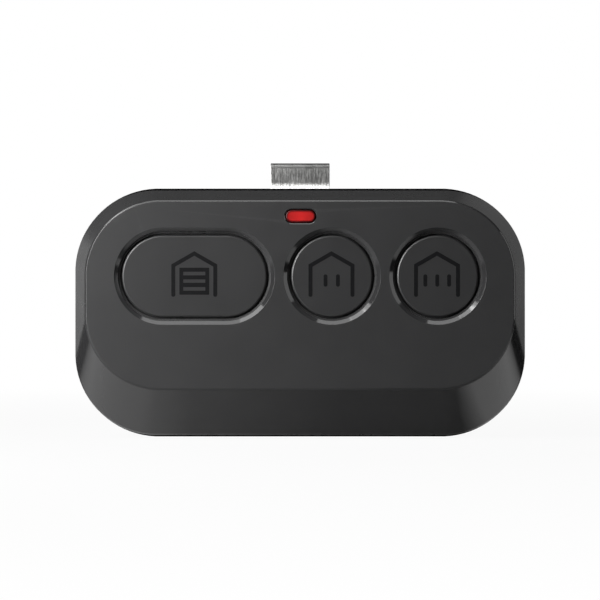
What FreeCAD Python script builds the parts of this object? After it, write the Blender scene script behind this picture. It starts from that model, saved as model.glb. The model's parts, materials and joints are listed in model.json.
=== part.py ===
import FreeCAD, Part
import math
import os
import Sketcher
from FreeCAD import Placement, Rotation, Vector

# Garage door remote with three keys, a status light and a visor clip.
#
# Millimetres. +X is to the right of someone who looks at the keys, +Z is up and
# the keys face -Y. The origin is on the flat back, at the height where the clip
# grips the visor. "Depth" is the distance in front of the flat back, so a point
# at depth d has y = -d, and the clip behind the back has y above 0.

VALUES = {
    # housing, outside
    "body_width": 90.0,
    "body_height": 49.8,
    "corner_radius": 16.7,
    "rear_depth": 5.2,
    "rim_depth": 1.0,
    "bevel_depth": 8.8,
    "bevel_side": 2.9,
    "bevel_top": 2.6,
    "bevel_bottom": 9.9,
    "face_corner_radius": 14.9,
    "face_edge_bevel": 0.3,
    "seam_bevel": 0.2,
    "back_edge_bevel": 0.9,
    # housing, walls and the lip between the two shells
    "wall": 1.8,
    "cavity_corner_radius": 14.0,
    "face_wall": 1.8,
    "back_wall": 1.6,
    "lip_thickness": 0.9,
    "lip_height": 0.9,
    "lip_root": 2.0,
    "lip_clearance": 0.1,
    # snap hooks of the rear shell
    "hook_width": 5.0,
    "hook_thickness": 1.0,
    "hook_reach": 4.0,
    "hook_barb": 0.9,
    "hook_barb_depth": 2.7,
    "hook_barb_land": 0.6,
    "hook_clearance": 0.15,
    "top_hook_x": 14.0,
    "pry_width": 8.0,
    "pry_height": 1.0,
    "pry_depth": 1.2,
    # keys
    "key_ring_gap": 1.7,
    "key_diameter": 16.0,
    "key_large_length": 28.5,
    "key_gap": 0.4,
    "key_well_draft": 0.4,
    "key_ring_bevel": 0.75,
    "key_recess": 0.6,
    "key_top_bevel": 0.5,
    "key_top_thickness": 1.3,
    "key_skirt_thickness": 1.3,
    "key_flange_overhang": 1.0,
    "key_flange_thickness": 0.9,
    "key_flange_clearance": 0.1,
    "key_stem_diameter": 3.4,
    "key_rib_thickness": 0.8,
    "collar_clearance": 0.2,
    "collar_wall": 0.6,
    "collar_height": 1.6,
    "collar_rib_offset": 3.0,
    # light window and lens
    "lens_x": 0.1,
    "lens_below_face_top": 3.27,
    "lens_to_key_ring": 0.83,
    "lens_length": 6.0,
    "lens_height": 2.6,
    "lens_clearance": 0.1,
    "lens_window_bevel": 0.15,
    "lens_recess": 0.15,
    "lens_top_bevel": 0.25,
    "lens_flange_overhang": 0.5,
    "lens_flange_thickness": 0.8,
    "lens_pipe_length": 3.4,
    "lens_pipe_height": 1.8,
    "lens_light_gap": 0.3,
    # circuit board and what holds it
    "board_depth": 6.0,
    "board_thickness": 1.0,
    "board_side_gap": 4.1,
    "board_top_gap": 2.4,
    "board_bottom_gap": 3.9,
    "board_corner_radius": 13.0,
    "boss_from_side": 10.8,
    "boss_from_bottom": 2.8,
    "boss_diameter": 5.0,
    "boss_bore_depth": 4.6,
    "screw_diameter": 2.0,
    "screw_length": 4.2,
    "screw_head_diameter": 3.8,
    "screw_head_height": 1.3,
    "screw_slot_width": 0.6,
    "screw_slot_length": 2.3,
    "screw_slot_depth": 0.7,
    "screw_clearance": 0.05,
    "post_from_side": 16.8,
    "post_from_top": 1.75,
    "post_width": 3.0,
    "pin_width": 1.5,
    "pin_length": 1.4,
    "board_hole_clearance": 0.1,
    # tactile switches
    "switch_size": 6.0,
    "switch_corner": 0.6,
    "switch_height": 1.4,
    "switch_well_width": 3.9,
    "switch_floor": 0.5,
    "switch_terminal_width": 0.9,
    "switch_terminal_reach": 0.8,
    "switch_terminal_thickness": 0.2,
    "switch_terminal_offset": 2.0,
    "switch_cover_thickness": 0.25,
    "switch_cover_hole": 2.8,
    "switch_cover_leg_width": 2.0,
    "switch_cover_leg_length": 0.9,
    "plunger_diameter": 2.4,
    "plunger_height": 1.25,
    "plunger_flange_width": 3.4,
    "plunger_flange_thickness": 0.4,
    "plunger_clearance": 0.05,
    "key_stem_clearance": 0.05,
    # coin cell and contacts
    "cell_from_side": 22.1,
    "cell_above": 1.0,
    "cell_diameter": 20.0,
    "cell_thickness": 3.2,
    "cell_cap_diameter": 17.7,
    "cell_cap_step": 0.25,
    "contact_thickness": 0.3,
    "contact_pad_width": 8.0,
    "contact_tail_width": 3.0,
    "contact_tail_length": 11.6,
    "strap_width": 5.0,
    "strap_gap": 0.3,
    "strap_foot": 1.6,
    "cell_rib_clearance": 0.4,
    "cell_rib_wall": 1.0,
    "cell_rib_height": 3.0,
    "cell_rib_slot": 6.4,
    "back_rib_from_side": 28.1,
    "back_rib_pitch": 7.0,
    "back_rib_thickness": 0.9,
    "back_rib_height": 1.4,
    "back_rib_half_length": 13.0,
    # other electronics
    "led_length": 3.0,
    "led_width": 1.6,
    "led_base_height": 0.5,
    "led_window_length": 1.6,
    "led_window_width": 1.0,
    "led_window_height": 0.3,
    "chip_x": -6.0,
    "chip_above_board_low": 12.3,
    "chip_length": 6.0,
    "chip_width": 4.4,
    "chip_standoff": 0.15,
    "chip_height": 1.1,
    "chip_edge_bevel": 0.2,
    "lead_pitch": 0.65,
    "lead_width": 0.3,
    "lead_thickness": 0.15,
    "lead_reach": 1.0,
    "crystal_x": 4.5,
    "crystal_length": 5.0,
    "crystal_width": 3.2,
    "crystal_base_height": 0.6,
    "crystal_lid_height": 0.5,
    "crystal_lid_inset": 0.25,
    "antenna_half_span": 16.0,
    "antenna_above_board_low": 3.8,
    "antenna_height": 3.4,
    "antenna_width": 1.0,
    "antenna_thickness": 0.5,
    "antenna_bend": 1.4,
    "passive_first_x": 10.0,
    "passive_pitch": 3.0,
    "passive_above_board_low": 6.5,
    "passive_row_pitch": 3.4,
    "passive_length": 2.0,
    "passive_width": 1.25,
    "passive_height": 0.6,
    # visor clip and its seat in the rear shell
    "clip_width": 11.9,
    "clip_thickness": 0.8,
    "clip_end_above": 4.8,
    "clip_joggle_above_body": 0.2,
    "clip_joggle_rise": 1.5,
    "clip_joggle_back": 1.2,
    "clip_joggle_bend": 1.2,
    "clip_top_above_body": 5.4,
    "clip_crown_bend": 1.0,
    "clip_crown_fall": 0.4,
    "clip_loop_back": 6.0,
    "clip_loop_bend": 2.0,
    "clip_knee_back": 5.6,
    "clip_knee_above": 16.0,
    "clip_knee_bend": 12.0,
    "clip_grip_bend": 3.5,
    "clip_grip_gap": 0.3,
    "clip_tip_rise": 3.5,
    "clip_tip_below": 8.2,
    "clip_tip_round": 2.5,
    "clip_hole_diameter": 2.8,
    "clip_hole_above": 7.4,
    "clip_nub_clearance": 0.2,
    "clip_nub_height": 0.7,
    "clip_seat_clearance": 0.1,
    "clip_side_clearance": 0.3,
    "bridge_thickness": 1.0,
    "bridge_low": 10.0,
    "bridge_high": 18.0,
    "track_floor_thickness": 1.3,
    "track_end_clearance": 0.5,
    "grip_recess": 0.6,
    "grip_recess_below": 11.0,
}
LEADS_PER_SIDE = 8
BACK_RIBS = 3
PASSIVE_COLUMNS = 5
PASSIVE_ROWS = 3
FUSE = 0.1
TOUCH = 1e-4
OCTAGON_CUT = 2 - math.sqrt(2)


class Dim:
    """A length that keeps the sheet formula that it comes from."""

    def __init__(self, number, formula=None):
        self.number = float(number)
        self.formula = formula or repr(float(number))

    def joined(self, other, sign, number):
        return Dim(number, f"({self.formula} {sign} {other.formula})")

    def __add__(self, other):
        other = as_dim(other)
        return self.joined(other, "+", self.number + other.number)

    def __sub__(self, other):
        other = as_dim(other)
        return self.joined(other, "-", self.number - other.number)

    def __mul__(self, other):
        other = as_dim(other)
        return self.joined(other, "*", self.number * other.number)

    def __truediv__(self, other):
        other = as_dim(other)
        return self.joined(other, "/", self.number / other.number)

    def __neg__(self):
        return Dim(-self.number, f"(0 - {self.formula})")

    def root(self):
        return Dim(math.sqrt(self.number), f"sqrt({self.formula})")


def as_dim(value):
    return value if isinstance(value, Dim) else Dim(value)


class SizeTable:
    """The driving dimensions, in a sheet, read as attributes."""

    def __init__(self, document, values):
        sheet = document.addObject("Spreadsheet::Sheet", "Sizes")
        for row, (name, value) in enumerate(values.items(), 1):
            sheet.set(f"A{row}", name)
            sheet.set(f"B{row}", str(value))
            sheet.setAlias(f"B{row}", name)
            setattr(self, name, Dim(value, f"Sizes.{name}"))
        document.recompute()


class Outline:
    """A rectangle with four equal round corners, in X and Z."""

    def __init__(self, left, right, bottom, top, radius):
        self.left = left
        self.right = right
        self.bottom = bottom
        self.top = top
        self.radius = radius

    def inset(self, by):
        return Outline(self.left + by, self.right - by, self.bottom + by, self.top - by, self.radius - by)

    def drawn(self, sketch):
        left, right, bottom, top, radius = (
            side.number for side in (self.left, self.right, self.bottom, self.top, self.radius)
        )
        lines = [
            ((left + radius, bottom), (right - radius, bottom)),
            ((right, bottom + radius), (right, top - radius)),
            ((right - radius, top), (left + radius, top)),
            ((left, top - radius), (left, bottom + radius)),
        ]
        centres = [
            (right - radius, bottom + radius),
            (right - radius, top - radius),
            (left + radius, top - radius),
            (left + radius, bottom + radius),
        ]
        line_ids = [add_line(sketch, start, end) for start, end in lines]
        arc_ids = []
        for quarter, centre in enumerate(centres):
            start = (quarter - 1) * math.pi / 2
            arc_ids.append(add_arc(sketch, centre, radius, start, start + math.pi / 2))
        for corner in range(4):
            constrain(sketch, "Tangent", line_ids[corner], 2, arc_ids[corner], 1)
            constrain(sketch, "Tangent", arc_ids[corner], 2, line_ids[(corner + 1) % 4], 1)
            constrain(sketch, "Horizontal" if corner % 2 == 0 else "Vertical", line_ids[corner])
        for arc in arc_ids[1:]:
            constrain(sketch, "Equal", arc_ids[0], arc)
        bind(sketch, self.radius, "Radius", arc_ids[0])
        bind(sketch, self.bottom, "DistanceY", -1, 1, line_ids[0], 1)
        bind(sketch, self.right, "DistanceX", -1, 1, line_ids[1], 1)
        bind(sketch, self.top, "DistanceY", -1, 1, line_ids[2], 1)
        bind(sketch, self.left, "DistanceX", -1, 1, line_ids[3], 1)
        return sketch


class Key:
    """Place and size of one key. A round key has no straight part."""

    def __init__(self, name, centre_x, straight=None):
        self.name = name
        self.centre_x = centre_x
        self.is_round = straight is None
        self.straight = as_dim(0.0) if self.is_round else straight


def constrain(sketch, *details):
    return sketch.addConstraint(Sketcher.Constraint(*details))


def bind(sketch, value, *details):
    """Add a dimension to a sketch and tie it to the sheet."""
    index = constrain(sketch, *details, value.number)
    sketch.setExpression(f"Constraints[{index}]", value.formula)


def add_line(sketch, start, end):
    return sketch.addGeometry(Part.LineSegment(Vector(*start, 0), Vector(*end, 0)), False)


def add_arc(sketch, centre, radius, start, end):
    circle = Part.Circle(Vector(*centre, 0), Vector(0, 0, 1), radius)
    return sketch.addGeometry(Part.ArcOfCircle(circle, start, end), False)


def draw_circle(sketch, centre_x, centre_z, diameter):
    centre = Vector(centre_x.number, centre_z.number, 0)
    circle = sketch.addGeometry(Part.Circle(centre, Vector(0, 0, 1), diameter.number / 2), False)
    bind(sketch, diameter, "Diameter", circle)
    bind(sketch, centre_x, "DistanceX", -1, 1, circle, 3)
    bind(sketch, centre_z, "DistanceY", -1, 1, circle, 3)
    return sketch


def draw_slot(sketch, centre_x, centre_z, straight, diameter):
    """A shape with two round ends and a straight part between them."""
    reach = diameter.number / 2
    half = straight.number / 2
    x, z = centre_x.number, centre_z.number
    low = add_line(sketch, (x - half, z - reach), (x + half, z - reach))
    right = add_arc(sketch, (x + half, z), reach, -math.pi / 2, math.pi / 2)
    high = add_line(sketch, (x + half, z + reach), (x - half, z + reach))
    left = add_arc(sketch, (x - half, z), reach, math.pi / 2, 3 * math.pi / 2)
    loop = [low, right, high, left]
    for place, piece in enumerate(loop):
        constrain(sketch, "Tangent", piece, 2, loop[(place + 1) % 4], 1)
    constrain(sketch, "Horizontal", low)
    constrain(sketch, "Equal", right, left)
    bind(sketch, diameter / 2, "Radius", right)
    bind(sketch, centre_x + straight / 2, "DistanceX", -1, 1, right, 3)
    bind(sketch, centre_x - straight / 2, "DistanceX", -1, 1, left, 3)
    bind(sketch, centre_z, "DistanceY", -1, 1, right, 3)
    return sketch


def draw_polygon(sketch, points):
    """A closed outline through points, each tied to the sheet."""
    lines = []
    for place, (across, along) in enumerate(points):
        following = points[(place + 1) % len(points)]
        start = (across.number, along.number)
        end = (following[0].number, following[1].number)
        lines.append(add_line(sketch, start, end))
    for place, line in enumerate(lines):
        constrain(sketch, "Coincident", line, 2, lines[(place + 1) % len(lines)], 1)
    for line, (across, along) in zip(lines, points):
        bind(sketch, across, "DistanceX", -1, 1, line, 1)
        bind(sketch, along, "DistanceY", -1, 1, line, 1)
    return sketch


def draw_box(sketch, left, right, bottom, top):
    return draw_polygon(sketch, [(left, bottom), (right, bottom), (right, top), (left, top)])


def draw_octagon(sketch, centre_x, centre_z, straight, half):
    """A regular octagon, drawn out along X by the straight part."""
    cut = half * OCTAGON_CUT
    reach = half + straight / 2
    corners = [
        (reach - cut, -half),
        (reach, -half + cut),
        (reach, half - cut),
        (reach - cut, half),
        (-reach + cut, half),
        (-reach, half - cut),
        (-reach, -half + cut),
        (-reach + cut, -half),
    ]
    return draw_polygon(sketch, [(centre_x + across, centre_z + along) for across, along in corners])


def draw_bent_path(sketch, points, radii):
    """An open path of straight runs, with an arc of a given radius at each inner point."""
    flat = [Vector(across.number, along.number, 0) for across, along in points]
    runs = []
    bends = []
    start = flat[0]
    for place, radius in enumerate(radii, 1):
        corner = flat[place]
        back = (flat[place - 1] - corner).normalize()
        ahead = (flat[place + 1] - corner).normalize()
        half_angle = back.getAngle(ahead) / 2
        reach = radius.number / math.tan(half_angle)
        centre = corner + (back + ahead).normalize() * (radius.number / math.sin(half_angle))
        entry = corner + back * reach
        leaving = corner + ahead * reach
        runs.append(add_line(sketch, (start.x, start.y), (entry.x, entry.y)))
        turns_left = back.cross(ahead).z < 0
        first, last = (entry, leaving) if turns_left else (leaving, entry)
        from_angle = math.atan2(first.y - centre.y, first.x - centre.x)
        to_angle = math.atan2(last.y - centre.y, last.x - centre.x)
        if to_angle < from_angle:
            to_angle += 2 * math.pi
        arc = add_arc(sketch, (centre.x, centre.y), radius.number, from_angle, to_angle)
        bends.append((arc, 1 if turns_left else 2, 2 if turns_left else 1))
        start = leaving
    runs.append(add_line(sketch, (start.x, start.y), (flat[-1].x, flat[-1].y)))
    for place, (arc, entry_end, leaving_end) in enumerate(bends):
        constrain(sketch, "Tangent", runs[place], 2, arc, entry_end)
        constrain(sketch, "Tangent", arc, leaving_end, runs[place + 1], 1)
        bind(sketch, radii[place], "Radius", arc)
        corner = sketch.addGeometry(Part.Point(flat[place + 1]), True)
        constrain(sketch, "PointOnObject", corner, 1, runs[place])
        constrain(sketch, "PointOnObject", corner, 1, runs[place + 1])
        bind(sketch, points[place + 1][0], "DistanceX", -1, 1, corner, 1)
        bind(sketch, points[place + 1][1], "DistanceY", -1, 1, corner, 1)
    bind(sketch, points[0][0], "DistanceX", -1, 1, runs[0], 1)
    bind(sketch, points[0][1], "DistanceY", -1, 1, runs[0], 1)
    bind(sketch, points[-1][0], "DistanceX", -1, 1, runs[-1], 2)
    bind(sketch, points[-1][1], "DistanceY", -1, 1, runs[-1], 2)
    return sketch


class Piece:
    """A body with the few operations that the sub-parts are made with."""

    def __init__(self, name, centre_x=None, centre_z=None):
        self.body = document.addObject("PartDesign::Body", name)
        self.body.Label = name
        self.body.Placement = Placement(Vector(0, 0, 0), Rotation())
        if centre_x is not None:
            self.body.setExpression("Placement.Base.x", centre_x.formula)
        if centre_z is not None:
            self.body.setExpression("Placement.Base.z", centre_z.formula)

    def origin(self, role):
        return next(item for item in self.body.Origin.OriginFeatures if item.Role == role)

    def sketch(self, role, offset):
        """A sketch on an own origin plane: XZ at a depth, XY at a height, YZ at an x."""
        offset = as_dim(offset)
        sketch = self.body.newObject("Sketcher::SketchObject", "Sketch")
        sketch.AttachmentSupport = [(self.origin(role), "")]
        sketch.MapMode = "FlatFace"
        sketch.AttachmentOffset = Placement(Vector(0, 0, offset.number), Rotation())
        sketch.setExpression("AttachmentOffset.Base.z", offset.formula)
        return sketch

    def at_depth(self, depth):
        return self.sketch("XZ_Plane", depth)

    def extrude(self, kind, sketch, length, reverse=False, both_ways=False):
        feature = self.body.newObject(f"PartDesign::{kind}", kind)
        feature.Profile = sketch
        feature.Length = length.number
        feature.setExpression("Length", length.formula)
        feature.Reversed = reverse
        if both_ways:
            feature.SideType = "Symmetric"
        return feature

    def forward(self, sketch, length):
        """Material from the sketch towards the face."""
        return self.extrude("Pad", sketch, length)

    def backward(self, sketch, length):
        """Material from the sketch towards the back."""
        return self.extrude("Pad", sketch, length, reverse=True)

    def across(self, sketch, length):
        """Material to both sides of the sketch."""
        return self.extrude("Pad", sketch, length, both_ways=True)

    def cut_backward(self, sketch, length):
        return self.extrude("Pocket", sketch, length)

    def cut_forward(self, sketch, length):
        return self.extrude("Pocket", sketch, length, reverse=True)

    def loft(self, kind, first, *others):
        feature = self.body.newObject(f"PartDesign::{kind}Loft", kind)
        feature.Profile = first
        feature.Sections = list(others)
        feature.Ruled = True
        return feature

    def revolve(self, sketch):
        """Material turned about the body's own Y axis."""
        feature = self.body.newObject("PartDesign::Revolution", "Turned")
        feature.Profile = sketch
        feature.ReferenceAxis = (self.origin("Y_Axis"), [""])
        feature.Angle = 360
        return feature

    def pipe(self, profile, path):
        feature = self.body.newObject("PartDesign::AdditivePipe", "Pipe")
        feature.Profile = profile
        feature.Spine = (path, [f"Edge{number}" for number in range(1, len(path.Shape.Edges) + 1)])
        return feature

    def dress(self, kind, size, wanted):
        """Round (Fillet) or bevel (Chamfer) the edges that the test picks."""
        document.recompute()
        base = self.body.Tip
        edges = [f"Edge{number}" for number, edge in enumerate(base.Shape.Edges, 1) if wanted(edge)]
        feature = self.body.newObject(f"PartDesign::{kind}", kind)
        feature.Base = (base, edges)
        size_name = "Radius" if kind == "Fillet" else "Size"
        setattr(feature, size_name, size.number)
        feature.setExpression(size_name, size.formula)
        return feature

    def subtract(self, other):
        feature = self.body.newObject("PartDesign::Boolean", "Hollow")
        feature.Type = "Cut"
        feature.setObjects([other.body])
        return feature

    def mirror(self, features):
        """The same features again on the other side of X = 0."""
        feature = self.body.newObject("PartDesign::Mirrored", "Mirrored")
        feature.Originals = features
        feature.MirrorPlane = (self.origin("YZ_Plane"), [""])
        self.body.Tip = feature
        return feature

    def row(self, features, axis, count, pitch):
        """The same features again in an even row."""
        feature = self.body.newObject("PartDesign::LinearPattern", "Row")
        feature.Originals = features
        feature.Direction = (self.origin(axis), [""])
        feature.Mode = "Spacing"
        feature.Occurrences = count
        feature.Offset = pitch.number
        feature.setExpression("Offset", pitch.formula)
        self.body.Tip = feature
        return feature


def at_y(level):
    """Picks edges that lie wholly in the plane at this y."""
    return lambda edge: abs(edge.BoundBox.YMin - level) < TOUCH and abs(edge.BoundBox.YMax - level) < TOUCH


def wall_along(thickness, inset, depth):
    """The width of a sloped wall, measured square to the depth."""
    return thickness * (inset * inset + depth * depth).root() / depth


def narrowed(outline, share):
    """The outline after this share of the way up the sloped sides."""
    return Outline(
        outline.left + S.bevel_side * share,
        outline.right - S.bevel_side * share,
        outline.bottom + S.bevel_bottom * share,
        outline.top - S.bevel_top * share,
        outline.radius + (S.face_corner_radius - S.corner_radius) * share,
    )


document = FreeCAD.newDocument("garage_remote")
S = SizeTable(document, VALUES)

# Depths and outlines that several pieces share.
RIM_START = S.rear_depth + S.rim_depth
FACE = RIM_START + S.bevel_depth
PLATE_BACK = FACE - S.face_wall
BODY_TOP = S.body_height / 2
BOARD_FRONT = S.board_depth + S.board_thickness
KEY_TOP = FACE - S.key_recess
FLANGE_FRONT = PLATE_BACK - S.key_flange_clearance
FLANGE_BACK = FLANGE_FRONT - S.key_flange_thickness
PLUNGER_FLANGE_FRONT = BOARD_FRONT + S.switch_height - S.plunger_clearance
PLUNGER_BACK = PLUNGER_FLANGE_FRONT - S.plunger_flange_thickness
PLUNGER_FRONT = PLUNGER_BACK + S.plunger_height
STEM_BACK = PLUNGER_FRONT + S.key_stem_clearance

RIM = Outline(-S.body_width / 2, S.body_width / 2, -BODY_TOP, BODY_TOP, S.corner_radius)
FACE_OUTLINE = Outline(
    RIM.left + S.bevel_side,
    RIM.right - S.bevel_side,
    RIM.bottom + S.bevel_bottom,
    RIM.top - S.bevel_top,
    S.face_corner_radius,
)
SIDE_WALL = wall_along(S.wall, S.bevel_side, S.bevel_depth)
TOP_WALL = wall_along(S.wall, S.bevel_top, S.bevel_depth)
BOTTOM_WALL = wall_along(S.wall, S.bevel_bottom, S.bevel_depth)
CAVITY = Outline(
    RIM.left + SIDE_WALL,
    RIM.right - SIDE_WALL,
    RIM.bottom + BOTTOM_WALL,
    RIM.top - TOP_WALL,
    RIM.radius - SIDE_WALL,
)
CAVITY_AT_PLATE = narrowed(CAVITY, (S.bevel_depth - S.face_wall) / S.bevel_depth)
FACE_SHOULDER = narrowed(RIM, (S.bevel_depth - S.face_edge_bevel) / S.bevel_depth)

# The key row: three rings with equal gaps, centred, a little below the lens.
WELL_GROW = S.key_gap + S.key_well_draft
RING_DIAMETER = S.key_diameter + (WELL_GROW + S.key_ring_bevel) * 2
KEY_LARGE_STRAIGHT = S.key_large_length - S.key_diameter
KEY_ROW_END = (RING_DIAMETER * 3 + KEY_LARGE_STRAIGHT) / 2 + S.key_ring_gap
KEY_RIGHT_X = KEY_ROW_END - RING_DIAMETER / 2
KEY_MIDDLE_X = KEY_RIGHT_X - RING_DIAMETER - S.key_ring_gap
KEY_LARGE_X = KEY_MIDDLE_X - RING_DIAMETER - S.key_ring_gap - KEY_LARGE_STRAIGHT / 2
KEYS = [
    Key("large", KEY_LARGE_X, KEY_LARGE_STRAIGHT),
    Key("middle", KEY_MIDDLE_X),
    Key("right", KEY_RIGHT_X),
]
FLANGE_HALF = S.key_diameter / 2 + S.key_flange_overhang
COLLAR_INNER = FLANGE_HALF + S.collar_clearance
COLLAR_OUTER = COLLAR_INNER + S.collar_wall
LENS_Z = FACE_OUTLINE.top - S.lens_below_face_top
LENS_STRAIGHT = S.lens_length - S.lens_height
KEY_ROW_Z = LENS_Z - S.lens_height / 2 - S.lens_clearance - S.lens_to_key_ring - RING_DIAMETER / 2

# The board and what stands on it follow the cavity.
BOARD = Outline(
    CAVITY.left + S.board_side_gap,
    CAVITY.right - S.board_side_gap,
    CAVITY.bottom + S.board_bottom_gap,
    CAVITY.top - S.board_top_gap,
    S.board_corner_radius,
)
BOSS_X = CAVITY_AT_PLATE.right - S.boss_from_side
BOSS_Z = CAVITY_AT_PLATE.bottom + S.boss_from_bottom
POST_X = CAVITY_AT_PLATE.right - S.post_from_side
POST_Z = CAVITY_AT_PLATE.top - S.post_from_top
CELL_X = CAVITY.left + S.cell_from_side
CHIP_Z = BOARD.bottom + S.chip_above_board_low
ANTENNA_Z = BOARD.bottom + S.antenna_above_board_low

# The snap hooks stand just inside the front shell's sloping wall.
HOOK_TIP = S.rear_depth + S.hook_reach
BARB_BACK = S.rear_depth + S.hook_barb_depth
BARB_FRONT = BARB_BACK + S.hook_barb_land
HOOK_SLOPE = (HOOK_TIP - RIM_START) / S.bevel_depth
TOP_HOOK_OUT = CAVITY.top - S.bevel_top * HOOK_SLOPE - S.hook_clearance
SIDE_HOOK_OUT = CAVITY.right - S.bevel_side * HOOK_SLOPE - S.hook_clearance

# The clip's leg lies behind the bridge, in a track in the flat back.
LEG_BACK = S.bridge_thickness + S.clip_seat_clearance
LEG_MIDDLE = LEG_BACK + S.clip_thickness / 2
TRACK_DEPTH = LEG_BACK + S.clip_thickness + S.clip_seat_clearance
TRACK_HALF = S.clip_width / 2 + S.clip_side_clearance
TRACK_LOW = S.clip_end_above - S.track_end_clearance


def draw_key(sketch, key, grow, centre_x, centre_z):
    """The key's outline, made larger all round by grow."""
    diameter = S.key_diameter + grow * 2
    if key.is_round:
        return draw_circle(sketch, centre_x, centre_z, diameter)
    return draw_slot(sketch, centre_x, centre_z, key.straight, diameter)


def make_front_cavity():
    """The space inside the sloped sides: a wedge with four rounded slanting edges."""
    cavity = Piece("front_cavity")
    wedge = cavity.body.newObject("PartDesign::AdditiveWedge", "Wedge")
    limits = {
        "Xmin": CAVITY_AT_PLATE.left,
        "Xmax": CAVITY_AT_PLATE.right,
        "Ymin": -PLATE_BACK,
        "Ymax": -RIM_START,
        "Zmin": CAVITY_AT_PLATE.bottom,
        "Zmax": CAVITY_AT_PLATE.top,
        "X2min": CAVITY.left,
        "X2max": CAVITY.right,
        "Z2min": CAVITY.bottom,
        "Z2max": CAVITY.top,
    }
    for limit, value in limits.items():
        setattr(wedge, limit, value.number)
        wedge.setExpression(limit, value.formula)
    cavity.dress("Fillet", S.cavity_corner_radius, lambda edge: edge.BoundBox.YLength > TOUCH)
    return cavity


def make_front_housing():
    """Moulded front shell: face plate, four sloped sides, key wells, bosses and catches."""
    shell = Piece("front_housing")
    shell.forward(RIM.drawn(shell.at_depth(S.rear_depth)), S.rim_depth)
    shell.loft(
        "Additive",
        RIM.drawn(shell.at_depth(RIM_START)),
        FACE_SHOULDER.drawn(shell.at_depth(FACE - S.face_edge_bevel)),
        FACE_OUTLINE.inset(S.face_edge_bevel).drawn(shell.at_depth(FACE)),
    )
    shell.dress("Chamfer", S.seam_bevel, at_y(-S.rear_depth.number))
    shell.cut_backward(CAVITY.drawn(shell.at_depth(RIM_START)), S.rim_depth)
    shell.subtract(make_front_cavity())
    for key in KEYS:
        add_key_well(shell, key)
    add_lens_window(shell)
    add_board_bosses(shell)
    add_hook_catches(shell)
    return shell


def add_key_well(shell, key):
    """Drafted well with a bevelled ring, and an eight-sided collar that keeps the key from turning."""
    x, z = key.centre_x, KEY_ROW_Z
    shell.loft(
        "Subtractive",
        draw_key(shell.at_depth(FACE), key, WELL_GROW, x, z),
        draw_key(shell.at_depth(PLATE_BACK), key, S.key_gap, x, z),
    )
    well_edge = S.key_diameter.number / 2 + WELL_GROW.number
    half_width = well_edge + key.straight.number / 2

    def is_well_edge(edge):
        box = edge.BoundBox
        off_side = max(abs(box.XMax - x.number), abs(box.XMin - x.number))
        off_row = abs(box.ZMax - z.number)
        return at_y(-FACE.number)(edge) and off_side <= half_width + TOUCH and off_row <= well_edge + TOUCH

    shell.dress("Chamfer", S.key_ring_bevel, is_well_edge)
    collar = shell.at_depth(PLATE_BACK + FUSE)
    draw_octagon(collar, x, z, key.straight, COLLAR_OUTER)
    draw_octagon(collar, x, z, key.straight, COLLAR_INNER)
    shell.backward(collar, S.collar_height + FUSE)
    rib_top = z - COLLAR_INNER - S.collar_wall / 2
    half = S.key_rib_thickness / 2
    for side in (-1, 1):
        rib_x = x + S.collar_rib_offset * side
        rib = shell.at_depth(PLATE_BACK + FUSE)
        draw_box(rib, rib_x - half, rib_x + half, CAVITY_AT_PLATE.bottom - FUSE, rib_top)
        shell.backward(rib, S.collar_height + FUSE)


def add_lens_window(shell):
    """Small window with round ends and a fine bevel, above the keys."""
    grow = S.lens_clearance * 2
    opening = draw_slot(shell.at_depth(FACE), S.lens_x, LENS_Z, LENS_STRAIGHT, S.lens_height + grow)
    shell.cut_backward(opening, S.face_wall)
    low = LENS_Z.number - S.lens_height.number

    def is_window_edge(edge):
        box = edge.BoundBox
        off_side = max(abs(box.XMin - S.lens_x.number), abs(box.XMax - S.lens_x.number))
        return at_y(-FACE.number)(edge) and off_side < S.lens_length.number and box.ZMin > low

    shell.dress("Chamfer", S.lens_window_bevel, is_window_edge)


def add_board_bosses(shell):
    """Two screw bosses low down and two posts with locating pins at the top."""
    height = PLATE_BACK - BOARD_FRONT
    bosses = shell.at_depth(PLATE_BACK + FUSE)
    posts = shell.at_depth(PLATE_BACK + FUSE)
    bores = shell.at_depth(BOARD_FRONT)
    pins = shell.at_depth(BOARD_FRONT + FUSE)
    for side in (-1, 1):
        draw_circle(bosses, BOSS_X * side, BOSS_Z, S.boss_diameter)
        post_x, half = POST_X * side, S.post_width / 2
        draw_box(posts, post_x - half, post_x + half, POST_Z - half, POST_Z + half)
        draw_circle(bores, BOSS_X * side, BOSS_Z, S.screw_diameter + S.screw_clearance * 2)
        half = S.pin_width / 2
        draw_box(pins, post_x - half, post_x + half, POST_Z - half, POST_Z + half)
    shell.backward(bosses, height + FUSE)
    shell.backward(posts, height + FUSE)
    shell.backward(pins, S.pin_length + FUSE)
    shell.cut_forward(bores, S.boss_bore_depth)


def add_hook_catches(shell):
    """Pockets in the inner walls that the rear shell's barbs snap into."""
    depth = S.hook_barb + S.hook_clearance
    half = S.hook_width / 2 + S.hook_clearance * 2
    near = -(HOOK_TIP + S.hook_clearance)
    far = -(BARB_BACK - S.hook_clearance)
    top = shell.sketch("XY_Plane", TOP_HOOK_OUT)
    draw_box(top, S.top_hook_x - half, S.top_hook_x + half, near, far)
    side = shell.sketch("YZ_Plane", SIDE_HOOK_OUT)
    draw_box(side, near, far, -half, half)
    shell.mirror([shell.cut_forward(top, depth), shell.cut_forward(side, depth)])


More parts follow.
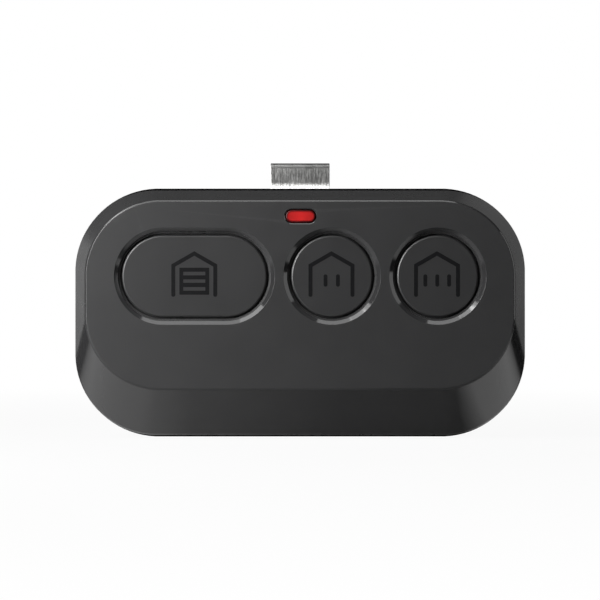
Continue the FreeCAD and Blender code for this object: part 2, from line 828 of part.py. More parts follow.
def make_rear_housing():
    """Moulded rear shell with its lip, hooks, cell ribs and the seat of the visor clip."""
    shell = Piece("rear_housing")
    shell.forward(RIM.drawn(shell.at_depth(0)), S.rear_depth)
    shell.dress("Chamfer", S.back_edge_bevel, at_y(0.0))
    inside = S.rear_depth - S.back_wall
    shell.cut_backward(CAVITY.drawn(shell.at_depth(S.rear_depth)), inside)
    add_lip(shell)
    add_clip_seat(shell)
    add_snap_hooks(shell)
    add_inner_ribs(shell)
    pry = shell.sketch("YZ_Plane", RIM.right - S.pry_depth)
    draw_box(pry, -S.rear_depth - FUSE, -S.rear_depth + S.pry_height, -S.pry_width / 2, S.pry_width / 2)
    shell.cut_forward(pry, S.pry_depth + FUSE)
    return shell


def add_lip(shell):
    """Lip that stands up inside the front shell's rim."""
    root = shell.at_depth(S.rear_depth - S.lip_root)
    CAVITY.inset(as_dim(-FUSE)).drawn(root)
    CAVITY.inset(S.lip_thickness).drawn(root)
    shell.forward(root, S.lip_root)
    lip = shell.at_depth(S.rear_depth - FUSE)
    CAVITY.inset(S.lip_clearance).drawn(lip)
    CAVITY.inset(S.lip_thickness).drawn(lip)
    shell.forward(lip, S.lip_height + FUSE)


def add_clip_seat(shell):
    """Track for the clip's leg with a bridge over it, and a shallow recess under the grip."""
    pad_half = TRACK_HALF + S.wall
    backing = shell.at_depth(S.back_wall - FUSE)
    draw_box(backing, -pad_half, pad_half, TRACK_LOW - S.wall, CAVITY.top + FUSE)
    shell.forward(backing, TRACK_DEPTH + S.track_floor_thickness - S.back_wall + FUSE)
    track = draw_box(shell.at_depth(0), -TRACK_HALF, TRACK_HALF, TRACK_LOW, BODY_TOP + FUSE)
    shell.cut_forward(track, TRACK_DEPTH)
    recess = draw_box(shell.at_depth(0), -TRACK_HALF, TRACK_HALF, -S.grip_recess_below, TRACK_LOW + FUSE)
    shell.cut_forward(recess, S.grip_recess)
    bridge = draw_box(shell.at_depth(0), -TRACK_HALF - FUSE, TRACK_HALF + FUSE, S.bridge_low, S.bridge_high)
    shell.forward(bridge, S.bridge_thickness)
    nub = shell.at_depth(TRACK_DEPTH + FUSE)
    draw_circle(nub, as_dim(0.0), S.clip_hole_above, S.clip_hole_diameter - S.clip_nub_clearance * 2)
    shell.backward(nub, S.clip_nub_height + FUSE)


def hook_profile(outer, sign):
    """Side view of a hook: across is the wall's direction, the other axis is y."""
    inner = outer - S.hook_thickness
    tip = outer + S.hook_barb
    foot = -(S.back_wall - FUSE)
    return [
        (inner * sign, foot),
        (outer * sign, foot),
        (outer * sign, -BARB_BACK),
        (tip * sign, -BARB_BACK),
        (tip * sign, -BARB_FRONT),
        (outer * sign, -HOOK_TIP),
        (inner * sign, -HOOK_TIP),
    ]


def add_snap_hooks(shell):
    """Two hooks at the top and one at each end, standing up from the back."""
    top = shell.sketch("YZ_Plane", S.top_hook_x)
    draw_polygon(top, [(along, across) for across, along in hook_profile(TOP_HOOK_OUT, 1)])
    side = shell.sketch("XY_Plane", 0)
    draw_polygon(side, hook_profile(SIDE_HOOK_OUT, 1))
    shell.mirror([shell.across(top, S.hook_width), shell.across(side, S.hook_width)])


def add_inner_ribs(shell):
    """Round rib that keeps the cell in place, and stiffening ribs on the other half."""
    foot = S.back_wall - FUSE
    inner = S.cell_diameter + S.cell_rib_clearance * 2
    ring = shell.at_depth(foot)
    draw_circle(ring, CELL_X, S.cell_above, inner + S.cell_rib_wall * 2)
    draw_circle(ring, CELL_X, S.cell_above, inner)
    shell.forward(ring, S.cell_rib_height + FUSE)
    reach = inner / 2 + S.cell_rib_wall + FUSE
    slot = shell.at_depth(S.back_wall)
    half = S.cell_rib_slot / 2
    draw_box(slot, CELL_X - reach, CELL_X + reach, S.cell_above - half, S.cell_above + half)
    shell.cut_forward(slot, S.cell_rib_height + FUSE)
    rib = shell.at_depth(foot)
    left = CAVITY.right - S.back_rib_from_side
    draw_box(rib, left, left + S.back_rib_thickness, -S.back_rib_half_length, S.back_rib_half_length)
    shell.row([shell.forward(rib, S.back_rib_height + FUSE)], "X_Axis", BACK_RIBS, S.back_rib_pitch)


def make_key(key):
    """Key cap with a bevelled top, an eight-sided flange behind the plate and a stem."""
    cap = Piece(f"key_{key.name}", key.centre_x, KEY_ROW_Z)
    zero = as_dim(0.0)
    cap.forward(draw_key(cap.at_depth(FLANGE_BACK), key, zero, zero, zero), KEY_TOP - FLANGE_BACK)
    cap.dress("Chamfer", S.key_top_bevel, at_y(-KEY_TOP.number))
    flange = draw_octagon(cap.at_depth(FLANGE_BACK), zero, zero, key.straight, FLANGE_HALF)
    cap.forward(flange, S.key_flange_thickness)
    under = KEY_TOP - S.key_top_thickness - FLANGE_BACK
    skirt_inner = S.key_diameter / 2 - S.key_skirt_thickness
    hollow = draw_octagon(cap.at_depth(FLANGE_BACK), zero, zero, key.straight, skirt_inner)
    cap.cut_forward(hollow, under)
    stem_top = FLANGE_BACK + under + FUSE
    stem = draw_circle(cap.at_depth(STEM_BACK), zero, zero, S.key_stem_diameter)
    cap.forward(stem, stem_top - STEM_BACK)
    rib_half = S.key_rib_thickness / 2
    reach_z = skirt_inner + FUSE
    reach_x = reach_z + key.straight / 2
    for half_x, half_z in ((reach_x, rib_half), (rib_half, reach_z)):
        rib = draw_box(cap.at_depth(FLANGE_BACK), -half_x, half_x, -half_z, half_z)
        cap.forward(rib, under + FUSE)
    return cap


def make_lens():
    """Clear red lens: rounded window piece, flange behind the plate and a light pipe."""
    lens = Piece("led_lens", S.lens_x, LENS_Z)
    zero = as_dim(0.0)
    flange_back = PLATE_BACK - S.lens_flange_thickness
    front = FACE - S.lens_recess
    window = draw_slot(lens.at_depth(flange_back), zero, zero, LENS_STRAIGHT, S.lens_height)
    lens.forward(window, front - flange_back)
    lens.dress("Chamfer", S.lens_top_bevel, at_y(-front.number))
    half_x = S.lens_length / 2 + S.lens_flange_overhang
    half_z = S.lens_height / 2 + S.lens_flange_overhang
    flange = draw_box(lens.at_depth(flange_back), -half_x, half_x, -half_z, half_z)
    lens.forward(flange, S.lens_flange_thickness)
    pipe_back = BOARD_FRONT + S.led_base_height + S.led_window_height + S.lens_light_gap
    half_x, half_z = S.lens_pipe_length / 2, S.lens_pipe_height / 2
    pipe = draw_box(lens.at_depth(flange_back + FUSE), -half_x, half_x, -half_z, half_z)
    lens.backward(pipe, flange_back + FUSE - pipe_back)
    return lens


def make_circuit_board():
    """Board with its round corners, two screw holes and two pin holes."""
    board = Piece("circuit_board")
    board.forward(BOARD.drawn(board.at_depth(S.board_depth)), S.board_thickness)
    holes = board.at_depth(BOARD_FRONT)
    screw_hole = S.screw_diameter + (S.screw_clearance + S.board_hole_clearance) * 2
    half = S.pin_width / 2 + S.board_hole_clearance
    for side in (-1, 1):
        draw_circle(holes, BOSS_X * side, BOSS_Z, screw_hole)
        post_x = POST_X * side
        draw_box(holes, post_x - half, post_x + half, POST_Z - half, POST_Z + half)
    board.cut_backward(holes, S.board_thickness)
    return board


def make_switch(key):
    """Tactile switch under one key: base with terminals, steel cover and plunger."""
    zero = as_dim(0.0)
    half = S.switch_size / 2
    base = Piece(f"switch_base_{key.name}", key.centre_x, KEY_ROW_Z)
    base.forward(draw_box(base.at_depth(BOARD_FRONT), -half, half, -half, half), S.switch_height)
    base.dress("Chamfer", S.switch_corner, is_along_y)
    well_half = S.switch_well_width / 2
    well = base.at_depth(BOARD_FRONT + S.switch_height)
    draw_box(well, -well_half, well_half, -well_half, well_half)
    base.cut_backward(well, S.switch_height - S.switch_floor)
    reach = half + S.switch_terminal_reach
    for side in (-1, 1):
        level = S.switch_terminal_offset * side
        low = level - S.switch_terminal_width / 2
        terminal = draw_box(base.at_depth(BOARD_FRONT), -reach, reach, low, low + S.switch_terminal_width)
        base.forward(terminal, S.switch_terminal_thickness)

    cover = Piece(f"switch_cover_{key.name}", key.centre_x, KEY_ROW_Z)
    plate_back = BOARD_FRONT + S.switch_height
    plate = draw_box(cover.at_depth(plate_back), -half, half, -half, half)
    draw_circle(plate, zero, zero, S.switch_cover_hole)
    cover.forward(plate, S.switch_cover_thickness)
    leg_half = S.switch_cover_leg_width / 2
    leg = cover.at_depth(plate_back - S.switch_cover_leg_length)
    draw_box(leg, -leg_half, leg_half, half, half + S.switch_cover_thickness)
    draw_box(leg, -leg_half, leg_half, -half - S.switch_cover_thickness, -half)
    cover.forward(leg, S.switch_cover_leg_length + S.switch_cover_thickness)

    plunger = Piece(f"switch_plunger_{key.name}", key.centre_x, KEY_ROW_Z)
    flange_half = S.plunger_flange_width / 2
    flange = plunger.at_depth(PLUNGER_BACK)
    draw_box(flange, -flange_half, flange_half, -flange_half, flange_half)
    plunger.forward(flange, S.plunger_flange_thickness)
    stud = draw_circle(plunger.at_depth(PLUNGER_BACK), zero, zero, S.plunger_diameter)
    plunger.forward(stud, S.plunger_height)
    return [base, cover, plunger]


def is_along_y(edge):
    box = edge.BoundBox
    return box.YLength > TOUCH and box.XLength < TOUCH and box.ZLength < TOUCH


def make_coin_cell():
    """Coin cell, turned: wide can towards the back, narrower cap towards the board."""
    cell = Piece("coin_cell", CELL_X, S.cell_above)
    cap_face = S.board_depth - S.contact_thickness
    can_back = cap_face - S.cell_thickness
    can_front = cap_face - S.cell_cap_step
    radius = S.cell_diameter / 2
    cap = S.cell_cap_diameter / 2
    zero = as_dim(0.0)
    profile = cell.sketch("XY_Plane", 0)
    draw_polygon(profile, [
        (zero, -can_back),
        (radius, -can_back),
        (radius, -can_front),
        (cap, -can_front),
        (cap, -cap_face),
        (zero, -cap_face),
    ])
    cell.revolve(profile)
    return cell


def make_battery_strap():
    """Positive contact: a strap bent over the cell, with a foot at each end."""
    strap = Piece("battery_strap", CELL_X, S.cell_above)
    thick = S.contact_thickness
    can_back = S.board_depth - thick - S.cell_thickness
    inner = S.cell_diameter / 2 + S.strap_gap
    foot = inner + thick + S.strap_foot
    right = [
        (foot, -S.board_depth),
        (foot, -(S.board_depth - thick)),
        (inner + thick, -(S.board_depth - thick)),
        (inner + thick, -(can_back - thick)),
    ]
    right_inside = [(inner, -can_back), (inner, -S.board_depth)]
    left = [(-across, along) for across, along in reversed(right)]
    left_inside = [(-across, along) for across, along in reversed(right_inside)]
    profile = strap.sketch("XY_Plane", 0)
    draw_polygon(profile, right + left + left_inside + right_inside)
    strap.across(profile, S.strap_width)
    return strap


def make_negative_contact():
    """Square pad under the cell with a tail that is soldered to the board."""
    leaf = Piece("negative_contact", CELL_X, S.cell_above)
    back = S.board_depth - S.contact_thickness
    zero = as_dim(0.0)
    pad = S.contact_pad_width / 2
    leaf.forward(draw_box(leaf.at_depth(back), -pad, pad, -pad, pad), S.contact_thickness)
    half = S.contact_tail_width / 2
    tail = draw_box(leaf.at_depth(back), -half, half, zero, S.contact_tail_length)
    leaf.forward(tail, S.contact_thickness)
    return leaf


def make_status_led():
    """Surface-mounted light with a low window."""
    led = Piece("status_led", S.lens_x, LENS_Z)
    half_x, half_z = S.led_length / 2, S.led_width / 2
    led.forward(draw_box(led.at_depth(BOARD_FRONT), -half_x, half_x, -half_z, half_z), S.led_base_height)
    half_x, half_z = S.led_window_length / 2, S.led_window_width / 2
    window = led.at_depth(BOARD_FRONT + S.led_base_height - FUSE)
    draw_box(window, -half_x, half_x, -half_z, half_z)
    led.forward(window, S.led_window_height + FUSE)
    return led


def make_radio_chip():
    """Transmitter chip with a row of bent leads on each long side."""
    chip = Piece("radio_chip", S.chip_x, CHIP_Z)
    half_x, half_z = S.chip_length / 2, S.chip_width / 2
    back = BOARD_FRONT + S.chip_standoff
    front = back + S.chip_height
    chip.forward(draw_box(chip.at_depth(back), -half_x, half_x, -half_z, half_z), S.chip_height)
    chip.dress("Chamfer", S.chip_edge_bevel, at_y(-front.number))
    middle = -(back + S.chip_height / 2)
    thick = S.lead_thickness
    board = -BOARD_FRONT
    knee = half_z + S.lead_reach / 2
    foot = half_z + S.lead_reach
    lead = chip.sketch("YZ_Plane", S.lead_pitch * (1 - LEADS_PER_SIDE) / 2)
    draw_polygon(lead, [
        (middle, half_z - FUSE),
        (middle, knee),
        (board - thick, knee),
        (board - thick, foot),
        (board, foot),
        (board, knee - thick),
        (middle + thick, knee - thick),
        (middle + thick, half_z - FUSE),
    ])
    first = chip.across(lead, S.lead_width)
    opposite = chip.sketch("YZ_Plane", S.lead_pitch * (1 - LEADS_PER_SIDE) / 2)
    draw_polygon(opposite, [
        (middle, -half_z + FUSE),
        (middle, -knee),
        (board - thick, -knee),
        (board - thick, -foot),
        (board, -foot),
        (board, -knee + thick),
        (middle + thick, -knee + thick),
        (middle + thick, -half_z + FUSE),
    ])
    second = chip.across(opposite, S.lead_width)
    chip.row([first, second], "X_Axis", LEADS_PER_SIDE, S.lead_pitch)
    return chip


def make_crystal():
    """Ceramic base with a slightly smaller metal lid."""
    crystal = Piece("crystal", S.crystal_x, CHIP_Z)
    half_x, half_z = S.crystal_length / 2, S.crystal_width / 2
    base = draw_box(crystal.at_depth(BOARD_FRONT), -half_x, half_x, -half_z, half_z)
    crystal.forward(base, S.crystal_base_height)
    half_x, half_z = half_x - S.crystal_lid_inset, half_z - S.crystal_lid_inset
    lid = crystal.at_depth(BOARD_FRONT + S.crystal_base_height - FUSE)
    draw_box(lid, -half_x, half_x, -half_z, half_z)
    crystal.forward(lid, S.crystal_lid_height + FUSE)
    return crystal


def make_antenna():
    """Bent strip that stands on the board's front, along its lower edge."""
    antenna = Piece("antenna")
    half = S.antenna_half_span
    top = -(BOARD_FRONT + S.antenna_height)
    path = antenna.sketch("XY_Plane", ANTENNA_Z)
    points = [(-half, -BOARD_FRONT), (-half, top), (half, top), (half, -BOARD_FRONT)]
    draw_bent_path(path, points, [S.antenna_bend, S.antenna_bend])
    half_x, half_z = S.antenna_thickness / 2, S.antenna_width / 2
    section = antenna.at_depth(BOARD_FRONT)
    draw_box(section, -half - half_x, -half + half_x, ANTENNA_Z - half_z, ANTENNA_Z + half_z)
    document.recompute()
    antenna.pipe(section, path)
    return antenna


def make_visor_clip():
    """Spring-steel strip: leg in the track, joggle, crown, loop, knee, grip and raised tip."""
    clip = Piece("visor_clip")
    leg = -LEG_MIDDLE
    top = BODY_TOP + S.clip_top_above_body - S.clip_thickness / 2
    joggle = BODY_TOP + S.clip_joggle_above_body
    grip = -S.grip_recess + S.clip_grip_gap + S.clip_thickness / 2
    points = [
        (leg, S.clip_end_above),
        (leg, joggle),
        (leg + S.clip_joggle_back, joggle + S.clip_joggle_rise),
        (leg + S.clip_joggle_back, top),
        (S.clip_loop_back, top - S.clip_crown_fall),
        (S.clip_knee_back, S.clip_knee_above),
        (grip, as_dim(0.0)),
        (grip + S.clip_tip_rise, -S.clip_tip_below),
    ]
    radii = [
        S.clip_joggle_bend,
        S.clip_joggle_bend,
        S.clip_crown_bend,
        S.clip_loop_bend,
        S.clip_knee_bend,
        S.clip_grip_bend,
    ]
    path = draw_bent_path(clip.sketch("YZ_Plane", 0), points, radii)
    half_width, half_thickness = S.clip_width / 2, S.clip_thickness / 2
    section = clip.sketch("XY_Plane", S.clip_end_above)
    draw_box(section, -half_width, half_width, leg - half_thickness, leg + half_thickness)
    document.recompute()
    clip.pipe(section, path)
    hole = draw_circle(clip.at_depth(0), as_dim(0.0), S.clip_hole_above, S.clip_hole_diameter)
    clip.cut_forward(hole, TRACK_DEPTH)
    tip_low = -S.clip_tip_below.number - S.clip_thickness.number

    def is_tip_corner(edge):
        box = edge.BoundBox
        at_side = abs(abs(box.XMin) - half_width.number) < TOUCH and box.XLength < TOUCH
        low = tip_low < box.ZMin and box.ZMax < -S.clip_tip_below.number + S.clip_thickness.number
        return at_side and low

    clip.dress("Fillet", S.clip_tip_round, is_tip_corner)
    return clip


def make_board_screws():
    """Two cross-slotted screws through the board into the front shell's bosses."""
    zero = as_dim(0.0)
    screws = []
    for side in (-1, 1):
        screw = Piece(f"screw_{'left' if side < 0 else 'right'}", BOSS_X * side, BOSS_Z)
        head_back = S.board_depth - S.screw_head_height
        tip = S.board_depth + S.screw_length + S.board_thickness
        head, shank = S.screw_head_diameter / 2, S.screw_diameter / 2
        profile = screw.sketch("XY_Plane", 0)
        draw_polygon(profile, [
            (zero, -head_back),
            (head, -head_back),
            (head, -S.board_depth),
            (shank, -S.board_depth),
            (shank, -tip),
            (zero, -tip),
        ])
        screw.revolve(profile)
        reach = S.screw_slot_length / 2
        half = S.screw_slot_width / 2
        for half_x, half_z in ((reach, half), (half, reach)):
            slot = draw_box(screw.at_depth(head_back), -half_x, half_x, -half_z, half_z)
            screw.cut_forward(slot, S.screw_slot_depth)
        screws.append(screw.body)
    return grouped("board_screws", screws)


def make_chip_parts():
    """Small surface-mounted parts in even rows."""
    boxes = []
    for row in range(PASSIVE_ROWS):
        for column in range(PASSIVE_COLUMNS):
            box = document.addObject("Part::Box", "chip_part")
            left = S.passive_first_x + S.passive_pitch * column - S.passive_length / 2
            level = BOARD.bottom + S.passive_above_board_low + S.passive_row_pitch * row
            box.setExpression("Length", S.passive_length.formula)
            box.setExpression("Width", S.passive_height.formula)
            box.setExpression("Height", S.passive_width.formula)
            box.setExpression("Placement.Base.x", left.formula)
            box.setExpression("Placement.Base.y", (-(BOARD_FRONT + S.passive_height)).formula)
            box.setExpression("Placement.Base.z", (level - S.passive_width / 2).formula)
            boxes.append(box)
    return grouped("chip_parts", boxes)


def grouped(name, members):
    """Several separate solids under one name."""
    group = document.addObject("Part::Compound", name)
    group.Label = name
    group.Links = members
    return group


def check_and_write(parts):
    """Stop on any failed object, then write one file for each sub-part."""
    document.recompute()
    for item in document.Objects:
        if "Invalid" in item.State or "Error" in item.State:
            raise RuntimeError(f"{item.Label} failed: {item.State}")
    for part in parts:
        if part.Shape.isNull() or not part.Shape.isValid():
            raise RuntimeError(f"{part.Label} has no valid shape")
    os.makedirs("parts", exist_ok=True)
    for part in parts:
        part.Shape.exportStep(f"parts/{part.Label}.step")
        box = part.Shape.BoundBox
        corners = [f"{value:.2f}" for value in (box.XMin, box.XMax, box.YMin, box.YMax, box.ZMin, box.ZMax)]
        print(f"{part.Label}: {len(part.Shape.Solids)} solid(s), {part.Shape.Volume:.1f} mm3,", *corners)


pieces = [make_front_housing(), make_rear_housing(), make_lens(), make_circuit_board()]
for key in KEYS:
    pieces.append(make_key(key))
    pieces.extend(make_switch(key))
pieces += [
    make_coin_cell(),
    make_battery_strap(),
    make_negative_contact(),
    make_status_led(),
    make_radio_chip(),
    make_crystal(),
    make_antenna(),
    make_visor_clip(),
]
check_and_write([piece.body for piece in pieces] + [make_board_screws(), make_chip_parts()])
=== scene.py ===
"""Garage door remote, dressed for its portrait.

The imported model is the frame. The outer shells, the keys with their signs, the lens and
the visor clip are modelled here over their solids, and every other solid gets its finish.
Sizes are in millimetres and a depth is measured in front of the flat back, towards the keys.
"""

import json
import logging
import math
from dataclasses import dataclass
from enum import Enum
from typing import Callable, Iterable, Sequence, TypeVar

import bmesh
import bpy
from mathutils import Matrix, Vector


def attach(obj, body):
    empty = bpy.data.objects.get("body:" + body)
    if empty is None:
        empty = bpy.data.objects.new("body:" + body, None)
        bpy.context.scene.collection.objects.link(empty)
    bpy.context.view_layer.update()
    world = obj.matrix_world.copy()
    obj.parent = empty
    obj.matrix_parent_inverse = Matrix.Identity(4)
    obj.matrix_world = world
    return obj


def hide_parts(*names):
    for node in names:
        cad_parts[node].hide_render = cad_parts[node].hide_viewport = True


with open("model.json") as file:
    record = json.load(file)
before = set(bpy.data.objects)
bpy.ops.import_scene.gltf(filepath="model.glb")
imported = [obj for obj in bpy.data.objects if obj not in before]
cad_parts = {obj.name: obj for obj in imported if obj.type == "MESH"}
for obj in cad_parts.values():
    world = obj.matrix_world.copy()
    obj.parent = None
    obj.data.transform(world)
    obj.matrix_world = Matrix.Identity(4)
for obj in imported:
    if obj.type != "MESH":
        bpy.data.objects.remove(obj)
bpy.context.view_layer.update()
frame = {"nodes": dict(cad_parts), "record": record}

LOG = logging.getLogger("remote")
MM = 0.001  # metres in a millimetre
QUARTER = 20  # points in a round corner
SLACK = 0.01  # millimetres by which two places may differ and still be one
SMOOTH_ANGLE = 32.0  # degrees up to which an edge is shaded smooth

Colour = tuple[float, float, float]
Triple = tuple[float, float, float]
Stops = tuple[tuple[float, float], ...]
Test = Callable[[Vector, Vector], bool]
Socket = bpy.types.NodeSocket
Sockets = dict[str | int, object]
Material = bpy.types.Material
Item = TypeVar("Item")


class Join(Enum):
    """How one solid meets another."""

    CUT = "DIFFERENCE"
    WELD = "UNION"


@dataclass(frozen=True)
class Outline:
    """A rectangle with round corners, across X and Z."""

    left: float
    right: float
    bottom: float
    top: float
    radius: float

    @classmethod
    def around(cls, x: float, z: float, straight: float, diameter: float) -> "Outline":
        """Make a slot round a middle, or a circle where its straight part is nought."""
        reach = straight / 2 + diameter / 2
        return cls(x - reach, x + reach, z - diameter / 2, z + diameter / 2, diameter / 2)

    @property
    def middle(self) -> tuple[float, float]:
        """Middle across and middle height."""
        return (self.left + self.right) / 2, (self.bottom + self.top) / 2

    def grown(self, by: float) -> "Outline":
        """Return the outline made larger all round."""
        return Outline(self.left - by, self.right + by, self.bottom - by, self.top + by, self.radius + by)


LENS = Outline.around(0.1, 19.03, 3.4, 2.6)


def near(place: float, *values: float) -> bool:
    """Tell whether all values lie at one place, in millimetres."""
    return all(abs(value - place) < SLACK for value in values)


def level(depth: float) -> Test:
    """Return a test for edges that lie wholly at one depth."""
    return lambda first, second: near(-depth, first.y, second.y)


def settle(item: Item, **settings: object) -> Item:
    """Give an item its settings.

    Args:
        item: A node, modifier, lamp, camera or object.
        **settings: The settings.

    Returns:
        The item.
    """
    for name, value in settings.items():
        setattr(item, name, value)
    return item


def take(*bodies: bpy.types.Object) -> None:
    """Leave edit mode and select just these objects, the first of them active.

    Args:
        *bodies: The objects, or none.
    """
    if bpy.context.object and bpy.context.object.mode != "OBJECT":
        bpy.ops.object.mode_set(mode="OBJECT")
    bpy.ops.object.select_all(action="DESELECT")
    for body in bodies:
        body.select_set(True)
    if bodies:
        bpy.context.view_layer.objects.active = bodies[0]


class Blank:
    """A mesh on the bench, with the edit-mode moves that the pieces are shaped by."""

    def __init__(self, name: str = "tool") -> None:
        """Lay an empty mesh on the bench.

        Args:
            name: The piece's name, if it becomes one.
        """
        take()
        bpy.ops.object.add(type="MESH", location=(0, 0, 0))
        self.body = bpy.context.object
        self.body.name = self.body.data.name = name
        bpy.ops.object.mode_set(mode="EDIT")
        bpy.ops.mesh.select_mode(type="VERT")

    @property
    def mesh(self) -> bmesh.types.BMesh:
        """The mesh as it stands in edit mode."""
        return bmesh.from_edit_mesh(self.body.data)

    def hold(self, action: str) -> None:
        """Take this mesh in hand, in edit mode, and SELECT or DESELECT all of it.

        Args:
            action: Either word.
        """
        if bpy.context.object is not self.body or self.body.mode != "EDIT":
            take(self.body)
            bpy.ops.object.mode_set(mode="EDIT")
        bpy.ops.mesh.select_all(action=action)

    def picked(self) -> set[int]:
        """Return the numbers of the picked vertices."""
        self.mesh.verts.index_update()
        return {vertex.index for vertex in self.mesh.verts if vertex.select}

    def pick(self, numbers: Iterable[int]) -> None:
        """Pick just these vertices.

        Args:
            numbers: The vertices' numbers.
        """
        wanted = set(numbers)
        bpy.ops.mesh.select_mode(type="VERT")
        mesh = self.mesh
        for vertex in mesh.verts:
            vertex.select = vertex.index in wanted
        mesh.select_flush_mode()
        bmesh.update_edit_mesh(self.body.data)

    def choose(self, kind: str, test: Callable[[bmesh.types.BMEdge | bmesh.types.BMFace], bool]) -> None:
        """Pick the edges or faces that pass a test.

        Args:
            kind: EDGE or FACE.
            test: Takes one of them.
        """
        self.hold("DESELECT")
        bpy.ops.mesh.select_mode(type=kind)
        mesh = self.mesh
        for item in filter(test, mesh.edges if kind == "EDGE" else mesh.faces):
            item.select_set(True)
        bmesh.update_edit_mesh(self.body.data)

    def pick_edges(self, test: Test) -> None:
        """Pick the edges whose two ends, in millimetres, pass a test."""
        self.choose("EDGE", lambda edge: test(*(vertex.co / MM for vertex in edge.verts)))

    def pick_faces(self, test: Test) -> None:
        """Pick the faces whose middle, in millimetres, and normal pass a test."""
        self.choose("FACE", lambda face: test(face.calc_center_median() / MM, face.normal))

    def spread(self, numbers: set[int], axis: int, middle: float, by: float) -> None:
        """Move the two halves of a loop apart.

        Args:
            numbers: The loop's vertices.
            axis: 0 for X or 2 for Z.
            middle: Where the halves meet.
            by: How far each half goes.
        """
        if abs(by) < 1e-6:
            return
        for side in (-1, 1):
            mesh = self.mesh
            mesh.verts.ensure_lookup_table()
            self.pick(n for n in numbers if (mesh.verts[n].co[axis] / MM - middle) * side > 0)
            shift = [0.0, 0.0, 0.0]
            shift[axis] = side * by * MM
            bpy.ops.transform.translate(value=shift)

    def loop(self, outline: Outline, depth: float, quarter: int = QUARTER) -> set[int]:
        """Add an outline as a loop of edges: a circle whose quarters are moved apart.

        Args:
            outline: Its shape.
            depth: Its place in front of the flat back.
            quarter: Points in each corner.

        Returns:
            The loop's vertices.
        """
        self.hold("DESELECT")
        half_step = math.pi / (4 * quarter)
        x, z = outline.middle
        bpy.ops.mesh.primitive_circle_add(
            vertices=4 * quarter,
            radius=outline.radius * MM / math.cos(half_step),
            fill_type="NOTHING",
            location=(x * MM, -depth * MM, z * MM),
            rotation=(math.pi / 2, half_step, 0),
        )
        numbers = self.picked()
        self.spread(numbers, 0, x, (outline.right - outline.left) / 2 - outline.radius)
        self.spread(numbers, 2, z, (outline.top - outline.bottom) / 2 - outline.radius)
        return numbers

    def loft(self, sections: Sequence[tuple[Outline, float]], quarter: int = QUARTER) -> "Blank":
        """Bridge a closed skin through outlines, with a flat face at each end.

        Args:
            sections: Outlines with their depths, in order.
            quarter: Points in each corner.

        Returns:
            This blank.
        """
        loops = [self.loop(outline, depth, quarter) for outline, depth in sections]
        for first, second in zip(loops, loops[1:]):
            self.move(first | second, bpy.ops.mesh.bridge_edge_loops)
        for end in (loops[0], loops[-1]):
            self.move(end, bpy.ops.mesh.edge_face_add)
        self.face_outwards()
        return self

    def move(self, loops: set[int], how: Callable[[], object]) -> None:
        """Pick loops and run one edit-mode move on them."""
        self.pick(loops)
        how()

    def block(self, low: Triple, high: Triple) -> "Blank":
        """Add a box between two corners, given as X, depth and Z.

        Args:
            low: Lowest X, depth and Z.
            high: Highest X, depth and Z.

        Returns:
            This blank.
        """
        self.hold("DESELECT")
        middle = [(a + b) / 2 * MM for a, b in zip(low, high)]
        middle[1] = -middle[1]
        bpy.ops.mesh.primitive_cube_add(size=MM, location=middle)
        bpy.ops.transform.resize(value=[b - a for a, b in zip(low, high)], center_override=middle)
        return self

    def rod(self, x: float, z: float, diameter: float, start: float, end: float, sides: int = 40) -> "Blank":
        """Add a round rod along the depth, or a prism where sides are few.

        Args:
            x: Middle across.
            z: Middle height.
            diameter: Size across, over the flats.
            start: Its depth at one end.
            end: Its depth at the other end.
            sides: Number of sides.

        Returns:
            This blank.
        """
        self.hold("DESELECT")
        half_step = math.pi / sides
        bpy.ops.mesh.primitive_cylinder_add(
            vertices=sides,
            radius=diameter / 2 * MM / math.cos(half_step),
            depth=abs(end - start) * MM,
            location=(x * MM, -(start + end) / 2 * MM, z * MM),
            rotation=(math.pi / 2, half_step, 0),
        )
        return self

    def stretch(self, middle_x: float, straight: float) -> "Blank":
        """Draw what was just added out along X, from its middle."""
        self.spread(self.picked(), 0, middle_x, straight / 2)
        return self

    def bevel(self, width: float, steps: int, profile: float = 0.5, clamp: bool = False) -> None:
        """Bevel the picked edges: a profile of 0.5 is round, and less is flatter."""
        settings = {"offset_type": "OFFSET", "affect": "EDGES", "clamp_overlap": clamp}
        bpy.ops.mesh.bevel(offset=width * MM, segments=steps, profile=profile, **settings)

    def round_edges(self, test: Test, width: float, steps: int = 3, profile: float = 0.5) -> None:
        """Bevel the edges whose two ends, in millimetres, pass a test."""
        self.pick_edges(test)
        self.bevel(width, steps, profile)

    def face_outwards(self) -> None:
        """Turn every face outwards."""
        self.hold("SELECT")
        bpy.ops.mesh.normals_make_consistent(inside=False)

    def modify(self, kind: str, **settings: object) -> None:
        """Apply a modifier.

        Args:
            kind: Its type.
            **settings: Its settings.
        """
        take(self.body)
        bpy.ops.object.modifier_add(type=kind)
        modifier = settle(self.body.modifiers[-1], **settings)
        bpy.ops.object.modifier_apply(modifier=modifier.name)

    def combine(self, how: Join, *others: "Blank") -> None:
        """Cut other blanks out of this one, or weld them on.

        Args:
            how: Cut or weld.
            *others: The other blanks, which are used up.
        """
        for other in others:
            other.face_outwards()
            self.face_outwards()
            self.modify("BOOLEAN", operation=how.value, solver="EXACT", object=other.body)
            bpy.data.objects.remove(other.body, do_unlink=True)

    def add_shells(self, *others: "Blank") -> None:
        """Take other blanks' closed shells into this mesh as they are.

        Args:
            *others: The other blanks, which are used up.
        """
        for other in others:
            other.face_outwards()
            take(self.body, other.body)
            bpy.ops.object.join()

